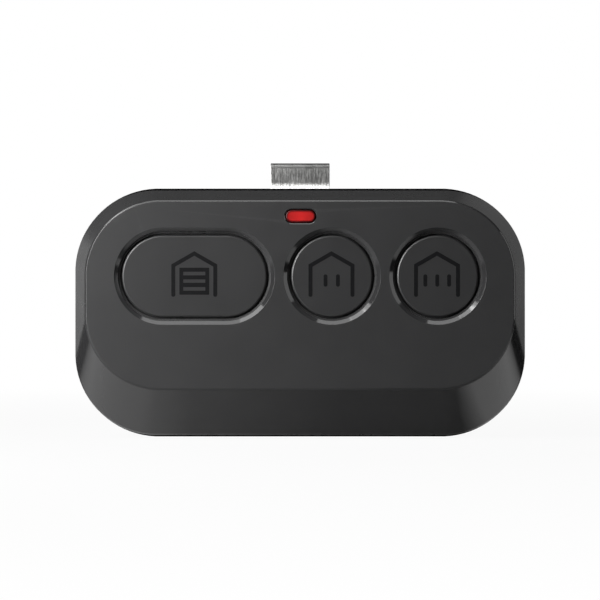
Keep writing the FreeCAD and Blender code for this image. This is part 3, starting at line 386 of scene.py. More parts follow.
    def done(self, finish: Material, slot: str, ride: str) -> bpy.types.Object:
        """Take the piece off the bench: merge, smooth, dress it and let it ride.

        Args:
            finish: Its material.
            slot: The record's material slot; not used.
            ride: The body that it moves with.

        Returns:
            The finished piece.
        """
        self.hold("SELECT")
        bpy.ops.mesh.remove_doubles(threshold=1e-7)
        take(self.body)
        bpy.ops.object.shade_smooth_by_angle(angle=math.radians(SMOOTH_ANGLE))
        self.modify("WEIGHTED_NORMAL", keep_sharp=True, weight=100)
        self.body.data.materials.append(finish)
        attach(self.body, ride)
        LOG.info("%s: %d faces", self.body.name, len(self.body.data.polygons))
        return self.body


class Net:
    """A node tree, laid down one node at a time."""

    def __init__(self, tree: bpy.types.NodeTree) -> None:
        """Take up a node tree."""
        self.tree = tree

    def node(self, kind: str, sockets: Sockets | None = None, **settings: object) -> bpy.types.Node:
        """Add a node.

        Args:
            kind: The node's type.
            sockets: Values or sources for its inputs.
            **settings: Its own settings.

        Returns:
            The node.
        """
        node = settle(self.tree.nodes.new(kind), **settings)
        for name, value in (sockets or {}).items():
            self.feed(node.inputs[name], value)
        return node

    def feed(self, socket: Socket, value: object) -> None:
        """Give an input a value, a colour or a source.

        Args:
            socket: The input.
            value: What it gets.
        """
        if isinstance(value, bpy.types.NodeSocket):
            self.tree.links.new(value, socket)
        elif socket.type == "RGBA":
            socket.default_value = (*value, 1.0)
        else:
            socket.default_value = value

    def remap(self, value: Socket, low: float, high: float, start: float = 0.0, end: float = 1.0) -> Socket:
        """Turn the range from low to high of a value into the range from start to end."""
        sockets = {"Value": value, "From Min": low, "From Max": high, "To Min": start, "To Max": end}
        return self.node("ShaderNodeMapRange", sockets).outputs["Result"]

    def maths(self, operation: str, *values: Socket | float) -> Socket:
        """Return the outcome of one sum on a few values."""
        return self.node("ShaderNodeMath", dict(enumerate(values)), operation=operation).outputs[0]

    def split(self, vector: Socket, axis: str) -> Socket:
        """Return one axis of a vector."""
        return self.node("ShaderNodeSeparateXYZ", {"Vector": vector}).outputs[axis]

    def either(self, factor: Socket, first: Socket | float, second: Socket | float) -> Socket:
        """Return the first value where the factor is 0 and the second where it is 1."""
        return self.node("ShaderNodeMix", {"Factor": factor, "A": first, "B": second}).outputs["Result"]

    def steps(self, place: Socket, stops: Stops) -> Socket:
        """Turn a place in metres into a value by straight runs between stops in millimetres.

        Args:
            place: The place.
            stops: Places with their values, in order.

        Returns:
            The value.
        """
        total: Socket | float = stops[0][1]
        for (start, low), (end, high) in zip(stops, stops[1:]):
            total = self.maths("ADD", self.remap(place, start * MM, end * MM, 0.0, high - low), total)
        return total


class Recipe(Net):
    """A material's node tree round its one shader."""

    def __init__(self, name: str) -> None:
        """Start a material.

        Args:
            name: Its name.
        """
        self.material = bpy.data.materials.new(name)
        self.material.use_nodes = True
        super().__init__(self.material.node_tree)
        self.shader = self.tree.nodes["Principled BSDF"]
        self.place = self.node("ShaderNodeTexCoord").outputs["Object"]

    def stretched(self, scale: Triple) -> Socket:
        """Return the place on the piece, drawn out along its axes."""
        return self.node("ShaderNodeMapping", {"Vector": self.place, "Scale": scale}).outputs["Vector"]

    def noise(self, size: float, detail: float = 2.0, rough: float = 0.5, at: Socket | None = None) -> Socket:
        """Add cloudy noise, with clouds of a size in millimetres, and return its value from 0 to 1."""
        clouds = {"Scale": 1 / (size * MM), "Detail": detail, "Roughness": rough}
        return self.node("ShaderNodeTexNoise", {"Vector": at or self.place} | clouds).outputs[0]

    def mixed(self, factor: Socket, first: Colour | Socket, second: Colour | Socket) -> Socket:
        """Return the first colour where the factor is 0 and the second where it is 1."""
        return self.node("ShaderNodeMix", {0: factor, 6: first, 7: second}, data_type="RGBA").outputs[2]

    def raised(self, height: Socket, depth: float, strength: float, under: Socket | None = None) -> Socket:
        """Return the normal bent by a height, to a depth in millimetres, over another bump if any."""
        sockets = {"Height": height, "Distance": depth * MM, "Strength": strength}
        return self.node("ShaderNodeBump", sockets | ({"Normal": under} if under else {})).outputs["Normal"]

    def set(self, **inputs: object) -> None:
        """Feed the shader's inputs, whose names have low lines for spaces here."""
        for name, value in inputs.items():
            self.feed(self.shader.inputs[name.replace("_", " ")], value)


def tint(colour: Colour, by: float) -> Colour:
    """Return a colour made lighter or darker."""
    return tuple(min(1.0, part * by) for part in colour)


@dataclass
class Finish(Recipe):
    """How a surface looks: a material that lays down its own nodes when it is made."""

    name: str
    colour: Colour

    def __post_init__(self) -> None:
        """Start the material and lay down its nodes."""
        super().__init__(self.name)
        self.lay()

    def lay(self) -> None:
        """Lay down the material's nodes."""
        raise NotImplementedError


@dataclass
class MouldedPlastic(Finish):
    """Moulded plastic: fine matt grain on the flats, satin bevels, faint flow marks and rubbed edges, with
    painted shade in the seam where a seam depth is given.
    """

    gloss: float = 0.42
    bevel_gloss: float = 0.09
    side_gloss: float = 0.28
    side_shine: float = 0.2
    grain: float = 0.22
    grain_depth: float = 0.012
    shine: float = 0.5
    rub: float = 1.35
    # depth of a thin band of painted shade at the seam between the shells, nought for none
    seam: float = 0.0

    def lay(self) -> None:
        """Lay down grain, flow marks, rubbed edges and the painted shade in the seam between the shells."""
        flow = self.noise(9.0, 3.0, 0.6)
        speck = self.noise(0.5, 2.0, 0.7)
        grain = self.noise(self.grain, 2.0, 0.6)
        colour = self.mixed(self.remap(flow, 0.3, 0.7), tint(self.colour, 0.94), tint(self.colour, 1.06))
        colour = self.mixed(self.remap(speck, 0.62, 0.75, 0.0, 0.5), colour, tint(self.colour, 1.12))
        surface = self.node("ShaderNodeNewGeometry").outputs
        edge = self.remap(surface["Pointiness"], 0.53, 0.62)
        worn = self.maths("MULTIPLY", edge, self.remap(speck, 0.3, 0.6))
        colour = self.mixed(worn, colour, tint(self.colour, self.rub))
        tilt = self.maths("ABSOLUTE", self.split(surface["Normal"], "Y"))
        flat = self.remap(tilt, 0.83, 0.9)
        steep = self.remap(tilt, 0.55, 0.4)
        patchy = self.remap(self.noise(4.0, 3.0, 0.7), 0.25, 0.75, -0.02, 0.02)
        gloss = self.maths("ADD", self.remap(flat, 0.0, 1.0, self.bevel_gloss, self.gloss), patchy)
        turned = self.remap(steep, 0.0, 1.0, 0.0, self.side_gloss - self.bevel_gloss)
        shine = self.remap(steep, 0.0, 1.0, self.shine, self.side_shine)
        relief = self.maths("MULTIPLY", grain, self.remap(flat, 0.0, 1.0, 0.25, 1.0))
        # Painted shade: a near-black colour and no specular shine in a thin band at the seam depth, where the
        # gap between the shells lies in shade.
        if self.seam:
            off = self.maths("ADD", self.split(self.place, "Y"), self.seam * MM)
            clear_of_seam_shade = self.remap(self.maths("ABSOLUTE", off), 0.14 * MM, 0.2 * MM)
            colour = self.mixed(clear_of_seam_shade, tint(self.colour, 0.06), colour)
            shine = self.maths("MULTIPLY", clear_of_seam_shade, shine)
        self.set(
            Base_Color=colour,
            Roughness=self.maths("ADD", gloss, turned),
            Specular_IOR_Level=shine,
            Normal=self.raised(relief, self.grain_depth, 0.5, self.raised(flow, 0.02, 0.05)),
        )


@dataclass
class PrintedInk(Finish):
    """Dark ink on a key: flat, with faint pinholes and a patchy film."""

    gloss: float = 0.5

    def lay(self) -> None:
        """Lay down the film and its pinholes."""
        film = self.remap(self.noise(0.6, 3.0, 0.6), 0.3, 0.7)
        self.set(
            Base_Color=self.mixed(film, self.colour, tint(self.colour, 1.5)),
            Roughness=self.remap(self.noise(0.25), 0.3, 0.7, self.gloss - 0.06, self.gloss + 0.06),
            Specular_IOR_Level=0.13,
            Normal=self.raised(self.noise(0.15), 0.006, 0.4),
        )


@dataclass
class TintedLens(Finish):
    """Red see-through plastic, with a painted glow over the status light and painted shade towards its rim.
    """

    rim_shade: Colour

    def lay(self) -> None:
        """Lay down the painted glow over the status light and the painted shade at the rim."""
        (x, z), radius = LENS.middle, LENS.radius
        aside = self.maths("SUBTRACT", self.split(self.place, "X"), x * MM)
        across = self.maths("ABSOLUTE", aside)
        past = self.maths("MAXIMUM", self.maths("SUBTRACT", across, (LENS.right - radius - x) * MM), 0.0)
        up = self.maths("SUBTRACT", self.split(self.place, "Z"), z * MM)
        square = self.maths("ADD", self.maths("POWER", past, 2.0), self.maths("POWER", up, 2.0))
        away = self.maths("SQRT", square)
        # Painted shade: towards the lens's edge the colour turns to the dark rim colour.
        rim = self.remap(away, radius * 0.55 * MM, radius * 0.82 * MM)
        cloudy = self.maths("ADD", rim, self.remap(self.noise(0.8), 0.3, 0.7, -0.06, 0.06))
        # Painted light: the colour is lightest over the status light and dims towards the ends, a painted
        # glow.
        glow = self.remap(across, 0.3 * MM, 2.2 * MM)
        colour = self.mixed(glow, self.colour, tint(self.colour, 0.72))
        self.set(
            Base_Color=self.mixed(cloudy, colour, self.rim_shade),
            Roughness=self.remap(self.noise(0.5), 0.3, 0.7, 0.3, 0.38),
            Specular_IOR_Level=0.25,
            Normal=self.raised(self.noise(1.2), 0.01, 0.3),
            IOR=1.45,
            Subsurface_Weight=0.1,
            Subsurface_Radius=(0.002, 0.0004, 0.0003),
        )


@dataclass
class BrushedSteel(Finish):
    """Spring steel brushed along the strip: short fine strokes, a few deeper ones, dull smears and painted
    shade over the crown.
    """

    gloss: float = 0.34
    fine: Triple = (1.0, 0.16, 0.16)
    long: Triple = (1.0, 0.05, 0.05)
    # height above which the crown of the bend gets painted shade
    shaded_crest: float = 29.1

    def lay(self) -> None:
        """Lay down the strokes, the smears and the painted shade over the crown."""
        fine = self.noise(0.2, 3.0, 0.65, self.stretched(self.fine))
        long = self.noise(0.34, 3.0, 0.7, self.stretched(self.long))
        smear = self.remap(self.noise(5.0, 3.0, 0.6), 0.3, 0.7, -0.04, 0.06)
        stroke = self.maths("ADD", self.maths("MULTIPLY", fine, 0.6), self.maths("MULTIPLY", long, 0.4))
        # Painted shade: above this height, over the crown of the bend, the steel's colour is darkened to
        # about a third.
        shaded_crest = self.remap(self.split(self.place, "Z"), self.shaded_crest * MM, (self.shaded_crest + 0.12) * MM)
        colour = self.mixed(self.remap(stroke, 0.4, 0.6), tint(self.colour, 0.5), self.colour)
        dull = self.maths("ADD", self.remap(stroke, 0.35, 0.65, -0.06, 0.06), smear)
        self.set(
            Base_Color=self.mixed(shaded_crest, colour, tint(self.colour, 0.36)),
            Roughness=self.maths("ADD", dull, self.gloss),
            Normal=self.raised(fine, 0.01, 0.4),
            Metallic=1.0,
        )


@dataclass
class PlatedMetal(Finish):
    """Bright or tinned metal: fine rolling lines, faint stains and a soft gloss."""

    gloss: float = 0.3

    def lay(self) -> None:
        """Lay down the stains and the rolling lines."""
        stain = self.noise(1.8, 4.0, 0.6)
        lines = self.noise(0.12, 2.0, 0.6, self.stretched((0.03, 1.0, 1.0)))
        self.set(
            Base_Color=self.mixed(self.remap(stain, 0.35, 0.7), self.colour, tint(self.colour, 0.8)),
            Roughness=self.remap(stain, 0.3, 0.7, self.gloss - 0.06, self.gloss + 0.08),
            Normal=self.raised(lines, 0.004, 0.35),
            Metallic=1.0,
        )


@dataclass
class BoardLaminate(Finish):
    """Green solder mask over copper tracks and a woven glass base."""

    track: Colour

    def lay(self) -> None:
        """Lay down the weave, the mask and the tracks."""
        on_piece = {"Vector": self.place}
        cells = self.node("ShaderNodeTexVoronoi", on_piece | {"Scale": 420.0}, feature="DISTANCE_TO_EDGE")
        line = self.remap(cells.outputs["Distance"], 0.07, 0.1, 1.0, 0.0)
        threads = {"Scale": 900.0, "Distortion": 0.4}
        weave = self.node("ShaderNodeTexWave", on_piece | threads).outputs["Fac"]
        ground = self.mixed(self.remap(weave, 0.2, 0.8), tint(self.colour, 0.85), self.colour)
        self.set(
            Base_Color=self.mixed(line, ground, self.track),
            Roughness=self.remap(weave, 0.0, 1.0, 0.3, 0.42),
            Normal=self.raised(line, 0.03, 0.5),
            Coat_Weight=0.3,
        )


@dataclass
class FiredBody(Finish):
    """Matt moulded epoxy or fired ceramic of small electronic parts."""

    gloss: float = 0.6

    def lay(self) -> None:
        """Lay down the dusty grain."""
        dust = self.noise(0.12, 3.0, 0.7)
        self.set(
            Base_Color=self.mixed(self.remap(dust, 0.35, 0.65), self.colour, tint(self.colour, 1.3)),
            Roughness=self.remap(dust, 0.3, 0.7, self.gloss - 0.08, self.gloss + 0.08),
            Normal=self.raised(dust, 0.01, 0.6),
        )


class FinishBook:
    """Every finish of the remote, made once."""

    def __init__(self) -> None:
        """Make the materials."""
        key_colour = (0.0215, 0.0215, 0.022)
        finishes = {
            # the housing plastic carries painted shade in its seam, 5.1 mm in front of the flat back
            "housing_plastic": MouldedPlastic("housing_plastic_grained", (0.022, 0.022, 0.0225), seam=5.1),
            "key_plastic": MouldedPlastic("key_plastic_fine", key_colour, 0.4, 0.34, grain=0.16),
            # the lens's second colour is its painted rim shade
            "lens_red": TintedLens("lens_red", (0.41, 0.014, 0.014), (0.03, 0.001, 0.0015)),
            "clip_steel": BrushedSteel("clip_steel_brushed", (0.78, 0.78, 0.765)),
            "board_laminate": BoardLaminate("board_green", (0.012, 0.09, 0.03), (0.03, 0.17, 0.06)),
            "switch_black": FiredBody("switch_base_black", (0.02, 0.02, 0.02)),
            "plunger_plastic": MouldedPlastic("plunger_ivory", (0.55, 0.5, 0.42), grain=0.1),
            "contact_metal": PlatedMetal("contact_nickel", (0.62, 0.58, 0.48)),
            "cell_steel": PlatedMetal("cell_can_steel", (0.66, 0.66, 0.65), 0.24),
            "screw_steel": PlatedMetal("screw_zinc", (0.55, 0.56, 0.58), 0.36),
            "chip_black": FiredBody("chip_epoxy", (0.012, 0.012, 0.013)),
            "chip_ceramic": FiredBody("chip_part_ceramic", (0.28, 0.2, 0.12), 0.5),
            "crystal_metal": PlatedMetal("crystal_lid", (0.7, 0.66, 0.56), 0.2),
            "antenna_copper": PlatedMetal("antenna_tinned", (0.66, 0.5, 0.38), 0.28),
            "led_body": FiredBody("led_body_white", (0.6, 0.58, 0.52), 0.4),
        }
        self.by_slot = {slot: finish.material for slot, finish in finishes.items()}
        self.ink = PrintedInk("key_sign_ink", (0.0035, 0.0035, 0.004)).material

    def dress_solids(self) -> None:
        """Give every solid of the frame the finish of its own slot."""
        slots = {part["node"]: part["material_slot"] for part in frame["record"]["subparts"]}
        for name, solid in frame["nodes"].items():
            finish = self.by_slot[slots[name]]
            for place in solid.material_slots:
                place.material = finish
            LOG.info("%s: %s", name, finish.name)


@dataclass(frozen=True)
class Housing:
    """The two moulded shells and the sizes that they share."""

    rear_depth: float = 5.2
    rim_top: float = 6.2
    face: float = 15.0
    plate_back: float = 13.2
    back_wall: float = 1.6
    rim: Outline = Outline(-45.0, 45.0, -24.78, 24.88, 16.7)
    front_rim: Outline = Outline(-44.98, 44.98, -24.44, 24.5, 16.2)
    face_outline: Outline = Outline(-42.3, 42.2, -15.0, 22.15, 14.9)
    cavity: Outline = Outline(-43.1, 43.1, -22.19, 23.02, 14.8)
    cavity_at_plate: Outline = Outline(-40.8, 40.8, -14.31, 20.95, 13.4)
    face_round: float = 0.34
    rim_round: float = 0.5
    back_round: float = 1.1
    seam: float = 0.16


@dataclass(frozen=True)
class KeyPlace:
    """Where a key is, how long its straight part is, and what it is called."""

    name: str
    x: float
    straight: float
    sign_shift: float


@dataclass(frozen=True)
class KeyRow:
    """Sizes of the keys and of their rings in the face."""

    z: float = 7.25
    diameter: float = 16.0
    top: float = 14.4
    ring_bevel: float = 0.75
    ring_depth: float = 0.6
    ring_round: float = 0.03
    well_gap: float = 0.8
    ledge_gap: float = 0.43
    well_gap_behind: float = 0.4
    flange_half: float = 9.0
    flange_front: float = 13.1
    flange_back: float = 12.2
    under_top: float = 13.1
    stem_back: float = 9.25
    places: tuple[KeyPlace, ...] = (
        KeyPlace("large", -20.8, 12.5, -0.03),
        KeyPlace("middle", 6.25, 0.0, -0.09),
        KeyPlace("right", 27.05, 0.0, -0.13),
    )

    def outline(self, place: KeyPlace, grow: float) -> Outline:
        """Return a key's outline, grown all round."""
        return Outline.around(place.x, self.z, place.straight, self.diameter).grown(grow)

    def distance(self, place: KeyPlace, point: Vector) -> float:
        """Return how far a point is from the middle line of a key, across X and Z."""
        past = max(abs(point.x - place.x) - place.straight / 2, 0.0)
        return math.hypot(past, point.z - self.z)

    def ring(self, place: KeyPlace, grow: float, depth: float) -> Test:
        """Return a test for edges on a key's outline, grown all round, at one depth."""
        flat, away = level(depth), self.diameter / 2 + grow
        return lambda *ends: flat(*ends) and all(abs(self.distance(place, end) - away) < 0.05 for end in ends)


@dataclass
class FrontShell:
    """Front shell: sloped sides, bevelled key wells, lens window and what stands behind the plate."""

    finish: Material
    housing: Housing
    keys: KeyRow
    collar_gap: float = 0.2
    collar_wall: float = 0.6
    collar_depth: float = 1.6
    rib_shift: float = 3.0
    rib_half: float = 0.4
    board: float = 7.0
    boss: tuple[float, float] = (30.0, -11.5)
    boss_diameter: float = 5.0
    boss_wall: float = 1.45
    bore_depth: float = 4.6
    post: tuple[float, float] = (24.0, 19.2)
    post_half: float = 1.5
    pin_half: float = 0.75
    pin_reach: float = 1.4
    overlap: float = 0.1

    def build(self) -> None:
        """Model the shell."""
        h, k = self.housing, self.keys
        shell = Blank("front_shell")
        shell.loft([(h.front_rim, h.rear_depth), (h.front_rim, h.rim_top), (h.face_outline, h.face)])
        shell.round_edges(level(h.face), h.face_round, 4, 0.32)
        shell.round_edges(level(h.rim_top), h.rim_round)
        shell.round_edges(level(h.rear_depth), h.seam, 2)
        cavity = [(h.cavity, h.rear_depth - 1), (h.cavity, h.rim_top), (h.cavity_at_plate, h.plate_back)]
        shell.combine(Join.CUT, Blank().loft(cavity), *map(self.well, k.places), self.window())
        for place in k.places:
            shell.round_edges(k.ring(place, k.well_gap + k.ring_bevel, h.face), k.ring_round, 2)
            shell.round_edges(k.ring(place, k.well_gap, h.face - k.ring_depth), k.ring_round, 2)
        shell.add_shells(self.collars(), self.supports())
        piece = shell.done(self.finish, "housing_plastic", "case")
        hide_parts("front_housing")

    def well(self, place: KeyPlace) -> Blank:
        """Model the cutter of one key's well: ring bevel, wall, ledge and the way behind.

        Args:
            place: The key.

        Returns:
            The cutter.
        """
        h, k = self.housing, self.keys
        floor = h.face - k.ring_depth
        flare = self.overlap * k.ring_bevel / k.ring_depth
        sections = (
            (k.well_gap + k.ring_bevel + flare, h.face + self.overlap),
            (k.well_gap, floor),
            (k.well_gap - 0.03, floor - 0.36),
            (k.ledge_gap, floor - 0.43),
            (k.well_gap_behind, h.plate_back - self.overlap),
        )
        return Blank().loft([(k.outline(place, grow), depth) for grow, depth in sections])

    def window(self) -> Blank:
        """Model the cutter of the lens window.

        Returns:
            The cutter.
        """
        h, slot = self.housing, LENS.grown(0.1)
        depths = (h.face + self.overlap, h.face - 0.16, h.plate_back - self.overlap)
        return Blank().loft(list(zip((slot.grown(0.28), slot, slot), depths)), 12)

    def collars(self) -> Blank:
        """Model the eight-sided collars and their ribs behind the plate.

        Returns:
            The collars and ribs.
        """
        h, k = self.housing, self.keys
        inner = k.flange_half + self.collar_gap
        back, front = h.plate_back - self.collar_depth, h.plate_back + self.overlap
        forms = Blank()
        for place in k.places:
            forms.rod(place.x, k.z, (inner + self.collar_wall) * 2, back, front, 8)
            forms.stretch(place.x, place.straight)
            forms.pick_faces(
                lambda middle, normal: abs(normal.y) > 0.9
                and abs(middle.x - place.x) < 0.5
                and abs(middle.z - k.z) < 0.5
            )
            bpy.ops.mesh.inset(thickness=self.collar_wall * MM, use_even_offset=True)
            bpy.ops.mesh.bridge_edge_loops()
            for x in (place.x - self.rib_shift, place.x + self.rib_shift):
                low = (x - self.rib_half, back, h.cavity_at_plate.bottom - 0.2)
                forms.block(low, (x + self.rib_half, front, k.z - inner - 0.3))
        return forms

    def supports(self) -> Blank:
        """Model the screw bosses, the posts and their pins.

        Returns:
            All of them.
        """
        board, front = self.board, self.housing.plate_back + self.overlap
        forms = Blank()
        for side in (-1, 1):
            x, z = self.boss[0] * side, self.boss[1]
            forms.rod(x, z, self.boss_diameter, board, front)
            forms.pick_faces(lambda middle, normal: near(-board, middle.y) and abs(middle.x - x) < 3)
            bpy.ops.mesh.inset(thickness=self.boss_wall * MM)
            bpy.ops.mesh.extrude_region_move(TRANSFORM_OT_translate={"value": (0, -self.bore_depth * MM, 0)})
            x, z = self.post[0] * side, self.post[1]
            for half, back, end in (
                (self.post_half, board, front),
                (self.pin_half, board - self.pin_reach, board + self.overlap),
            ):
                forms.block((x - half, back, z - half), (x + half, end, z + half))
        return forms


@dataclass
class RearShell:
    """Rear shell: rounded back, clip track with its bridge, lip, hooks and ribs.

    Each part of a hook has its heights, its places across and its depths.
    """

    finish: Material
    housing: Housing
    track_half: float = 6.25
    track_low: float = 4.3
    track_depth: float = 2.0
    recess_low: float = -11.0
    recess_depth: float = 0.6
    bridge: tuple[float, float] = (10.0, 18.0)
    pry_depth: float = 1.2
    pry_half: float = 4.0
    nub_z: float = 7.4
    nub_diameter: float = 2.4
    cell: tuple[float, float] = (-21.0, 1.0)
    cell_ring: float = 22.8
    cell_space: float = 20.8
    ribs: Triple = (15.0, 22.0, 29.0)
    rib_width: float = 0.9
    hook_shift: float = 14.0
    hook_half: float = 2.5
    hooks: tuple[tuple[float, ...], ...] = (
        (20.98, 21.98, 40.97, 41.97, 1.5, 9.2),
        (21.9, 22.6, 41.9, 42.6, 7.9, 8.5),
    )

    def build(self) -> None:
        """Model the shell."""
        h, half, low = self.housing, self.track_half, self.track_low
        shell = Blank("rear_shell")
        shell.loft([(h.rim, 0.0), (h.rim, h.rear_depth)])
        shell.round_edges(level(0.0), h.back_round, 6)
        shell.round_edges(level(h.rear_depth), h.seam, 2)
        shell.combine(Join.CUT, Blank().loft([(h.cavity, h.back_wall), (h.cavity, h.rear_depth + 1)]))
        wide, side, (bridge_low, bridge_high) = half + 1.8, h.rim.right, self.bridge
        for how, near_corner, far_corner in (
            (Join.WELD, (-wide, 1.5, 2.5), (wide, self.track_depth + 1.3, h.cavity.top + 0.1)),
            (Join.CUT, (-half, -1.0, low), (half, self.track_depth, 26.0)),
            (Join.CUT, (-half, -1.0, self.recess_low), (half, self.recess_depth, low + 0.1)),
            (Join.CUT, (side - self.pry_depth, 4.2, -self.pry_half), (side + 1, 5.3, self.pry_half)),
            (Join.WELD, (-half - 0.1, 0.0, bridge_low), (half + 0.1, 1.0, bridge_high)),
        ):
            shell.combine(how, Blank().block(near_corner, far_corner))
        shell.round_edges(self.is_track_edge, 0.22)
        shell.add_shells(self.inside())
        piece = shell.done(self.finish, "housing_plastic", "case")
        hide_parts("rear_housing")

    def is_track_edge(self, first: Vector, second: Vector) -> bool:
        """Tell whether an edge is one of the track's, at the flat back.

        Args:
            first: One end.
            second: The other end.

        Returns:
            Whether it is.
        """
        half, middle = self.track_half, (first + second) / 2
        on_bridge = self.bridge[0] < middle.z < self.bridge[1]
        along = near(half, abs(first.x), abs(second.x)) and not on_bridge and (first - second).length > 0.5
        across = any(near(z, first.z, second.z) for z in (self.recess_low, *self.bridge))
        return level(0.0)(first, second) and (along or (across and abs(middle.x) < half))

    def inside(self) -> Blank:
        """Model the lip, the hooks, the clip's nub and the ribs.

        Returns:
            All of them.
        """
        lip = self.housing.cavity
        forms = Blank()
        for outer, *depths in ((lip.grown(0.1), 3.2, 5.2), (lip.grown(-0.1), 5.1, 6.1)):
            a, b, c, d = (forms.loop(line, depth) for line in (outer, lip.grown(-0.9)) for depth in depths)
            for loops in (a | b, b | d, d | c, c | a):
                forms.move(loops, bpy.ops.mesh.bridge_edge_loops)
        forms.rod(0.0, self.nub_z, self.nub_diameter, 2.1, 1.3)
        x, z = self.cell
        ring = Blank().rod(x, z, self.cell_ring, 1.5, 4.6, 72)
        space = Blank().rod(x, z, self.cell_space, 1.0, 5.0, 72)
        ring.combine(Join.CUT, space, Blank().block((x - 12, 1.6, z - 3.2), (x + 12, 5.0, z + 3.2)))
        forms.add_shells(ring)
        for x in self.ribs:
            forms.block((x, 1.5, -13.0), (x + self.rib_width, 3.0, 13.0))
        half = self.hook_half
        for side in (-1, 1):
            x = self.hook_shift * side
            for bottom, top, *ends, back, front in self.hooks:
                forms.block((x - half, back, bottom), (x + half, front, top))
                left, right = sorted(end * side for end in ends)
                forms.block((left, back, -half), (right, front, half))
        return forms


@dataclass
class KeyCap:
    """One key: bevelled top, skirt, eight-sided flange, stem and ribs."""

    finish: Material
    row: KeyRow
    place: KeyPlace
    edge: float = 0.3
    edge_drop: float = 0.56
    stem: float = 3.4
    hollow: float = 13.4
    rib_half: float = 0.4
    rib_reach: float = 6.8

    def build(self) -> None:
        """Model the key."""
        k, x, z, straight = self.row, self.place.x, self.row.z, self.place.straight
        cap = Blank(f"key_cap_{self.place.name}")
        outline = k.outline(self.place, 0.0)
        shoulder = k.top - self.edge * self.edge_drop
        cap.loft([(outline, k.flange_back), (outline, shoulder), (outline.grown(-self.edge), k.top)], 26)
        cap.round_edges(level(k.top), 0.05, 2)
        cap.round_edges(level(shoulder), 0.1)
        flange = Blank().rod(x, z, k.flange_half * 2, k.flange_back, k.flange_front, 8)
        cap.combine(Join.WELD, flange.stretch(x, straight))
        hollow = Blank().rod(x, z, self.hollow, k.flange_back - 1, k.under_top, 8)
        cap.combine(Join.CUT, hollow.stretch(x, straight))
        back, front, thin = k.flange_back, k.under_top + 0.1, self.rib_half
        forms = Blank().rod(x, z, self.stem, k.stem_back, front)
        for wide, high in ((self.rib_reach + straight / 2, thin), (thin, self.rib_reach)):
            forms.block((x - wide, back, z - high), (x + wide, front, z + high))
        cap.add_shells(forms)
        piece = cap.done(self.finish, "key_plastic", f"{self.place.name}_key")
        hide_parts(f"key_{self.place.name}")


class Sign(Enum):
    """What stands under the roof of a key's sign: how many bars, and how far apart."""

    SLATTED_DOOR = (0, 0.0)
    TWO_BARS = (2, 2.44)
    THREE_BARS = (3, 2.34)


@dataclass
class KeySign:
    """Sign on a key: an open house outline with a slatted door or short upright bars."""

    finish: Material
    row: KeyRow
    place: KeyPlace
    sign: Sign
    stroke: float = 0.77
    half_span: float = 4.13
    apex: float = 4.46
    foot: float = -4.05
    pitch: float = math.radians(29.8)
    proud: float = 0.02
    bar_shift: float = 0.05
    bar_half: float = 0.375
    bar_low: float = -2.05
    bar_high: float = 0.34
    bar_round: float = 0.34
    gap_half: float = 2.17
    gaps: Stops = ((0.16, 0.87), (-1.30, -0.63), (-2.86, -2.15))

    def build(self) -> None:
        """Model the sign."""
        sign = self.house()
        sign.add_shells(self.door() if self.sign is Sign.SLATTED_DOOR else self.bars(*self.sign.value))
        sign.done(self.finish, "key_plastic", f"{self.place.name}_key")

    @property
    def x(self) -> float:
        """Middle of the sign across."""
        return self.place.x + self.place.sign_shift

    @property
    def depths(self) -> tuple[float, float]:
        """Depths of the sign's underside and of its top."""
        return self.row.top - 0.02, self.row.top + self.proud

    def house(self) -> Blank:
        """Model the roof and walls: an even band inside a five-cornered outline, open below.

        Returns:
            The band, with its open ends rounded.
        """
        back, front = self.depths
        z, stroke = self.row.z, self.stroke
        house = Blank(f"key_sign_{self.place.name}")
        half = self.half_span + stroke / 2
        peak = self.apex + stroke / 2 / math.cos(self.pitch)
        eaves = peak - half * math.tan(self.pitch)
        low = self.foot - 2 * stroke
        centre = (self.x * MM, -back * MM, (z + (eaves + low) / 2) * MM)
        bpy.ops.mesh.primitive_plane_add(size=MM, location=centre, rotation=(math.pi / 2, 0, 0))
        bpy.ops.transform.resize(value=(half * 2, 1.0, eaves - low), center_override=centre)
        house.pick_edges(lambda first, second: near(z + eaves, first.z, second.z))
        bpy.ops.mesh.subdivide(number_cuts=1)
        house.pick(vertex.index for vertex in house.mesh.verts if near(self.x, vertex.co.x / MM))
        bpy.ops.transform.translate(value=(0, 0, (peak - eaves) * MM))
        house.hold("SELECT")
        bpy.ops.mesh.inset(thickness=stroke * MM, use_even_offset=True)
        bpy.ops.mesh.delete(type="FACE")
        house.pick_faces(lambda middle, normal: middle.z < z + low + stroke)
        bpy.ops.mesh.delete(type="FACE")
        house.hold("SELECT")
        foot = (0, 0, (z + self.foot) * MM)
        bpy.ops.mesh.bisect(plane_co=foot, plane_no=(0, 0, -1), clear_outer=True)
        house.hold("SELECT")
        bpy.ops.mesh.extrude_region_move(TRANSFORM_OT_translate={"value": (0, -(front - back) * MM, 0)})
        house.face_outwards()
        house.round_edges(self.is_end_corner, stroke * 0.42, 5)
        return house

    def is_end_corner(self, first: Vector, second: Vector) -> bool:
        """Tell whether an edge is a corner of a wall's open end."""
        return near(self.row.z + self.foot, first.z, second.z) and not near(first.y, second.y)

    def bars(self, count: int, spacing: float) -> Blank:
        """Model the upright bars.

        Args:
            count: How many.
            spacing: How far apart their middles are.

        Returns:
            The bars.
        """
        forms = Blank()
        for number in range(count):
            x = self.x + self.bar_shift + (number - (count - 1) / 2) * spacing
            low, high = self.row.z + self.bar_low, self.row.z + self.bar_high
            bar = Outline(x - self.bar_half, x + self.bar_half, low, high, self.bar_round)
            forms.loft([(bar, depth) for depth in self.depths], 6)
        return forms

    def door(self) -> Blank:
        """Model the slatted door.

        Returns:
            The door.
        """
        back, front = self.depths
        x, z = self.x, self.row.z
        edge = Outline(x - 2.93, x + 2.93, z - 3.65, z + 1.66, 0.12)
        door = Blank().loft([(edge, back), (edge, front)], 4)
        for low, high in self.gaps:
            gap = Outline(x - self.gap_half, x + self.gap_half, z + low, z + high, 0.08)
            door.combine(Join.CUT, Blank().loft([(gap, back - 1), (gap, front + 1)], 4))
        return door


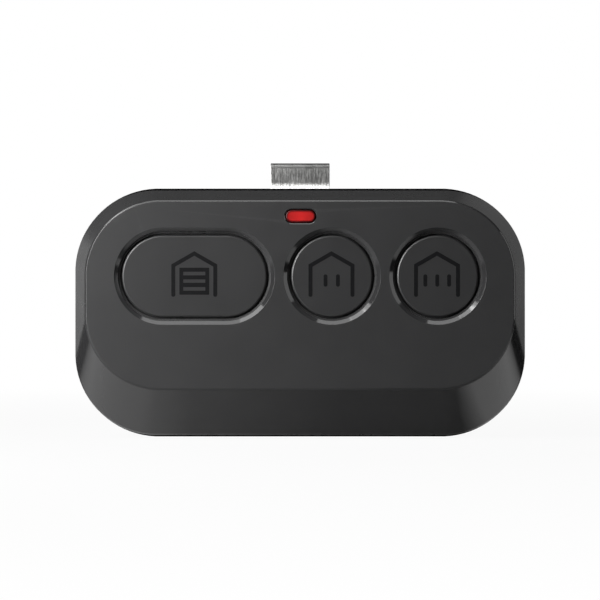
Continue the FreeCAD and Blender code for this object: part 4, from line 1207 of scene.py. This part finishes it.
@dataclass
class Lens:
    """Lens over the status light: crowned window, flange and light pipe (half sizes, then depths)."""

    finish: Material
    front: float = 14.85
    back: float = 12.4
    flange: tuple[float, ...] = (3.5, 1.8, 12.4, 13.2)
    pipe: tuple[float, ...] = (1.7, 0.9, 8.1, 12.5)
    crown: Stops = ((0.0, 0.3), (-0.05, 0.17), (-0.13, 0.08), (-0.25, 0.03), (-0.4, 0.0))

    def build(self) -> None:
        """Model the lens."""
        x, z = LENS.middle
        lens = Blank("lens_window")
        sections = [(LENS, self.back)] + [(LENS.grown(by), self.front - drop) for by, drop in self.crown]
        lens.loft(sections, 14)
        for wide, high, start, end in (self.flange, self.pipe):
            lens.combine(Join.WELD, Blank().block((x - wide, start, z - high), (x + wide, end, z + high)))
        piece = lens.done(self.finish, "lens_red", "case")
        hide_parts("led_lens")


@dataclass
class VisorClip:
    """Spring clip: one strip, bent from the leg over the crown and down to the raised tip."""

    finish: Material
    width: float = 11.9
    thickness: float = 0.8
    points: Stops = (
        (-1.5, 4.8),
        (-1.5, 24.2),
        (-0.3, 25.75),
        (-0.3, 29.9),
        (6.0, 29.5),
        (5.6, 16.0),
        (0.1, 0.0),
        (3.6, -8.2),
    )
    bends: tuple[tuple[float, int], ...] = ((2.0, 5), (2.0, 5), (0.8, 2), (2.0, 14), (12.0, 7), (3.5, 9))
    hole_z: float = 7.4
    hole_diameter: float = 2.8
    tip_round: float = 2.4
    sharp_angle: float = 50.0
    edge_round: float = 0.09

    def build(self) -> None:
        """Model the clip."""
        clip = Blank("clip_spring")
        start_y, start_z = self.points[0]
        centre = (0, start_y * MM, start_z * MM)
        bpy.ops.mesh.primitive_plane_add(size=MM, location=centre)
        bpy.ops.transform.resize(value=(self.width, self.thickness, 1.0), center_override=centre)
        bpy.ops.mesh.delete(type="ONLY_FACE")
        clip.hold("SELECT")
        first_end = clip.picked()
        here = Vector(self.points[0])
        for number, (radius, facets) in enumerate(self.bends, 1):
            here = self.bend(here, number, radius, facets)
        self.run(here, Vector(self.points[-1]))
        for end in (first_end, clip.picked()):
            clip.move(end, bpy.ops.mesh.edge_face_add)
        clip.face_outwards()
        clip.combine(Join.CUT, Blank().rod(0.0, self.hole_z, self.hole_diameter, 0.0, 3.0))
        clip.round_edges(self.is_tip_corner, self.tip_round, 7)
        clip.hold("DESELECT")
        bpy.ops.mesh.select_mode(type="EDGE")
        bpy.ops.mesh.edges_select_sharp(sharpness=math.radians(self.sharp_angle))
        clip.bevel(self.edge_round, 2, clamp=True)
        piece = clip.done(self.finish, "clip_steel", "case")
        piece.visible_glossy = False
        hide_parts("visor_clip")

    def is_tip_corner(self, first: Vector, second: Vector) -> bool:
        """Tell whether an edge is a corner of the tip, seen from behind.

        Args:
            first: One end.
            second: The other end.

        Returns:
            Whether it is.
        """
        tip_y, tip_z = self.points[-1]
        at_side = near(self.width / 2, abs(first.x)) and near(first.x, second.x)
        return at_side and all(end.z < tip_z + 0.6 and abs(end.y - tip_y) < 0.6 for end in (first, second))

    def run(self, start: Vector, end: Vector) -> None:
        """Draw the open end of the strip out in a straight run, between places given as y and z."""
        step = (end - start) * MM
        bpy.ops.mesh.extrude_edges_move(TRANSFORM_OT_translate={"value": (0, step.x, step.y)})

    def bend(self, start: Vector, number: int, radius: float, facets: int) -> Vector:
        """Draw the strip up to a bend and round it.

        Args:
            start: Where the strip's end is, as y and z.
            number: The bend's place among the points.
            radius: Its radius at mid thickness.
            facets: How many flats it has.

        Returns:
            Where the strip's end is after the bend.
        """
        corner = Vector(self.points[number])
        back = (Vector(self.points[number - 1]) - corner).normalized()
        ahead = (Vector(self.points[number + 1]) - corner).normalized()
        half_angle = back.angle(ahead) / 2
        reach = radius / math.tan(half_angle)
        middle = corner + (back + ahead).normalized() * (radius / math.sin(half_angle))
        self.run(start, corner + back * reach)
        turn = 1.0 if back.x * ahead.y - back.y * ahead.x > 0 else -1.0
        bpy.ops.mesh.spin(
            steps=facets,
            angle=(math.pi - 2 * half_angle) * turn,
            center=(0, middle.x * MM, middle.y * MM),
            axis=(1, 0, 0),
            use_auto_merge=False,
        )
        return corner + ahead * reach


@dataclass(frozen=True)
class Lamp:
    """A soft rectangular lamp."""

    name: str
    place: Triple
    size: tuple[float, float]
    power: float
    aim: Triple = (0.0, -10.0, 0.0)

    def hang(self) -> None:
        """Hang the lamp and aim it."""
        wide, high = self.size
        data = bpy.data.lights.new(self.name, "AREA")
        settle(data, shape="RECTANGLE", size=wide * MM, size_y=high * MM, energy=self.power)
        lamp = bpy.data.objects.new(self.name, data)
        way = (Vector(self.aim) - Vector(self.place)) * MM
        turn = way.to_track_quat("-Z", "Y").to_euler()
        settle(lamp, location=Vector(self.place) * MM, rotation_euler=turn, visible_camera=False)
        bpy.context.scene.collection.objects.link(lamp)


@dataclass
class Studio:
    """Pale floor, soft lamps and the camera square to the keys."""

    camera_place: Triple = (-0.03, -515.0, 2.56)
    half_view: float = 0.1179
    floor_level: float = -24.95
    floor_colour: float = 0.3
    floor_clear: float = 0.94
    floor_glows: tuple[tuple[Stops, Stops], ...] = (
        (
            ((-60, 1.2), (-33, 1.2), (-22, 0.62), (-8, 0.44), (8, 0.27), (33, 0.2), (40, 1.3)),
            ((-22, 0), (-19, 1), (-2, 1), (25, 0)),
        ),
        (
            ((-60, 0.8), (10, 0.65), (17, 0.1), (46, 0.1), (50, 0)),
            ((-60, 0.1), (-36, 1), (-25.4, 1), (-24.2, 0)),
        ),
        (
            ((46, 0), (51, 1.1), (105, 1.1), (125, 0)),
            ((-72, 0), (-58, 1), (-26, 1), (-24.5, 0)),
        ),
    )
    room_light: float = 0.01
    room_front: float = 0.05
    room_back: float = 0.08
    lamps: tuple[Lamp, ...] = (
        Lamp("lamp_front_left", (-130, -122, 60), (60, 130), 0.43),
        Lamp("lamp_behind", (0, 420, 12), (100, 80), 1),
        Lamp("card_over", (-7, -95, 370), (274, 170), 0.44),
        Lamp("card_over_left", (-223, -95, 300), (110, 196), 0.35),
        Lamp("card_right", (360, -60, 96), (140, 240), 0.17),
        Lamp("strip_left", (-278, -213, 104), (120, 220), 0.46),
        Lamp("strip_over", (-160, -222, 296), (300, 50), 0.47),
        Lamp("card_behind_left", (-198, 324, 10), (150, 170), 0.044),
        Lamp("card_behind_right", (190, 324, 80), (180, 300), 0.05),
    )

    def build(self) -> None:
        """Set up the camera, the world, the floor and the lamps."""
        self.set_camera()
        self.set_world()
        self.lay_floor()
        for lamp in self.lamps:
            lamp.hang()
        bpy.context.scene.view_settings.view_transform = "Standard"

    def set_camera(self) -> None:
        """Put the camera where the photograph was taken from."""
        data = bpy.data.cameras.new("portrait_camera")
        settle(data, sensor_width=36.0, sensor_height=36.0, lens=18.0 / self.half_view)
        settle(data, clip_start=0.01, clip_end=20.0)
        camera = bpy.data.objects.new("portrait_camera", data)
        settle(camera, location=Vector(self.camera_place) * MM, rotation_euler=(math.pi / 2, 0, 0))
        bpy.context.scene.collection.objects.link(camera)
        bpy.context.scene.camera = camera

    def set_world(self) -> None:
        """Make the room white to look at, and in reflections dim in front and dark behind."""
        world = bpy.data.worlds.new("white_studio")
        bpy.context.scene.world = world
        world.use_nodes = True
        net = Net(world.node_tree)
        path = net.node("ShaderNodeLightPath").outputs
        way = net.node("ShaderNodeTexCoord").outputs["Generated"]
        reflected = net.remap(net.split(way, "Y"), -0.8, 0.2, self.room_front, self.room_back)
        lit = net.either(path["Is Glossy Ray"], self.room_light, reflected)
        seen = net.maths("MAXIMUM", path["Is Camera Ray"], path["Is Transmission Ray"])
        background = net.tree.nodes["Background"].inputs
        net.feed(background["Color"], (1.0, 1.0, 1.0))
        net.feed(background["Strength"], net.maths("MAXIMUM", seen, lit))

    def lay_floor(self) -> None:
        """Lay a wide floor just under the remote."""
        take()
        bpy.ops.mesh.primitive_plane_add(size=6.0, location=(0, 0, self.floor_level * MM))
        floor = bpy.context.object
        floor.name = "studio_floor"
        floor.data.materials.append(self.floor_finish())

    def floor_finish(self) -> Material:
        """Make the floor's material: white to look at but for a soft shadow, with glows to reflect.

        Returns:
            The material.
        """
        floor = Recipe("floor_white")
        floor.set(Base_Color=(self.floor_colour,) * 3, Roughness=0.9, Specular_IOR_Level=0.0)
        path = floor.node("ShaderNodeLightPath").outputs
        away = floor.node("ShaderNodeVectorMath", {0: floor.place}, operation="LENGTH").outputs["Value"]
        clear = floor.remap(away, 0.08, 0.3, self.floor_clear, 1.0)
        seen = floor.maths("MULTIPLY", path["Is Camera Ray"], clear)
        glow: Socket | float = 0.0
        for zone in self.floor_glows:
            sides = (floor.steps(floor.split(floor.place, axis), stops) for axis, stops in zip("XY", zone))
            glow = floor.maths("MULTIPLY_ADD", *sides, glow)
        white = floor.node("ShaderNodeEmission", {"Strength": floor.either(path["Is Glossy Ray"], 1.0, glow)})
        shown = floor.maths("MAXIMUM", seen, path["Is Glossy Ray"])
        mix = floor.node("ShaderNodeMixShader", {0: shown, 1: floor.shader.outputs[0], 2: white.outputs[0]})
        floor.feed(floor.tree.nodes["Material Output"].inputs["Surface"], mix.outputs[0])
        return floor.material


def main() -> None:
    """Build the studio and the remote, piece by piece."""
    logging.basicConfig(level=logging.INFO, format="%(name)s: %(message)s")
    Studio().build()
    book = FinishBook()
    book.dress_solids()
    housing, keys = Housing(), KeyRow()
    FrontShell(book.by_slot["housing_plastic"], housing, keys).build()
    RearShell(book.by_slot["housing_plastic"], housing).build()
    for place, sign in zip(keys.places, Sign):
        KeyCap(book.by_slot["key_plastic"], keys, place).build()
        KeySign(book.ink, keys, place, sign).build()
    Lens(book.by_slot["lens_red"]).build()
    VisorClip(book.by_slot["clip_steel"]).build()


if __name__ == "__main__":
    main()
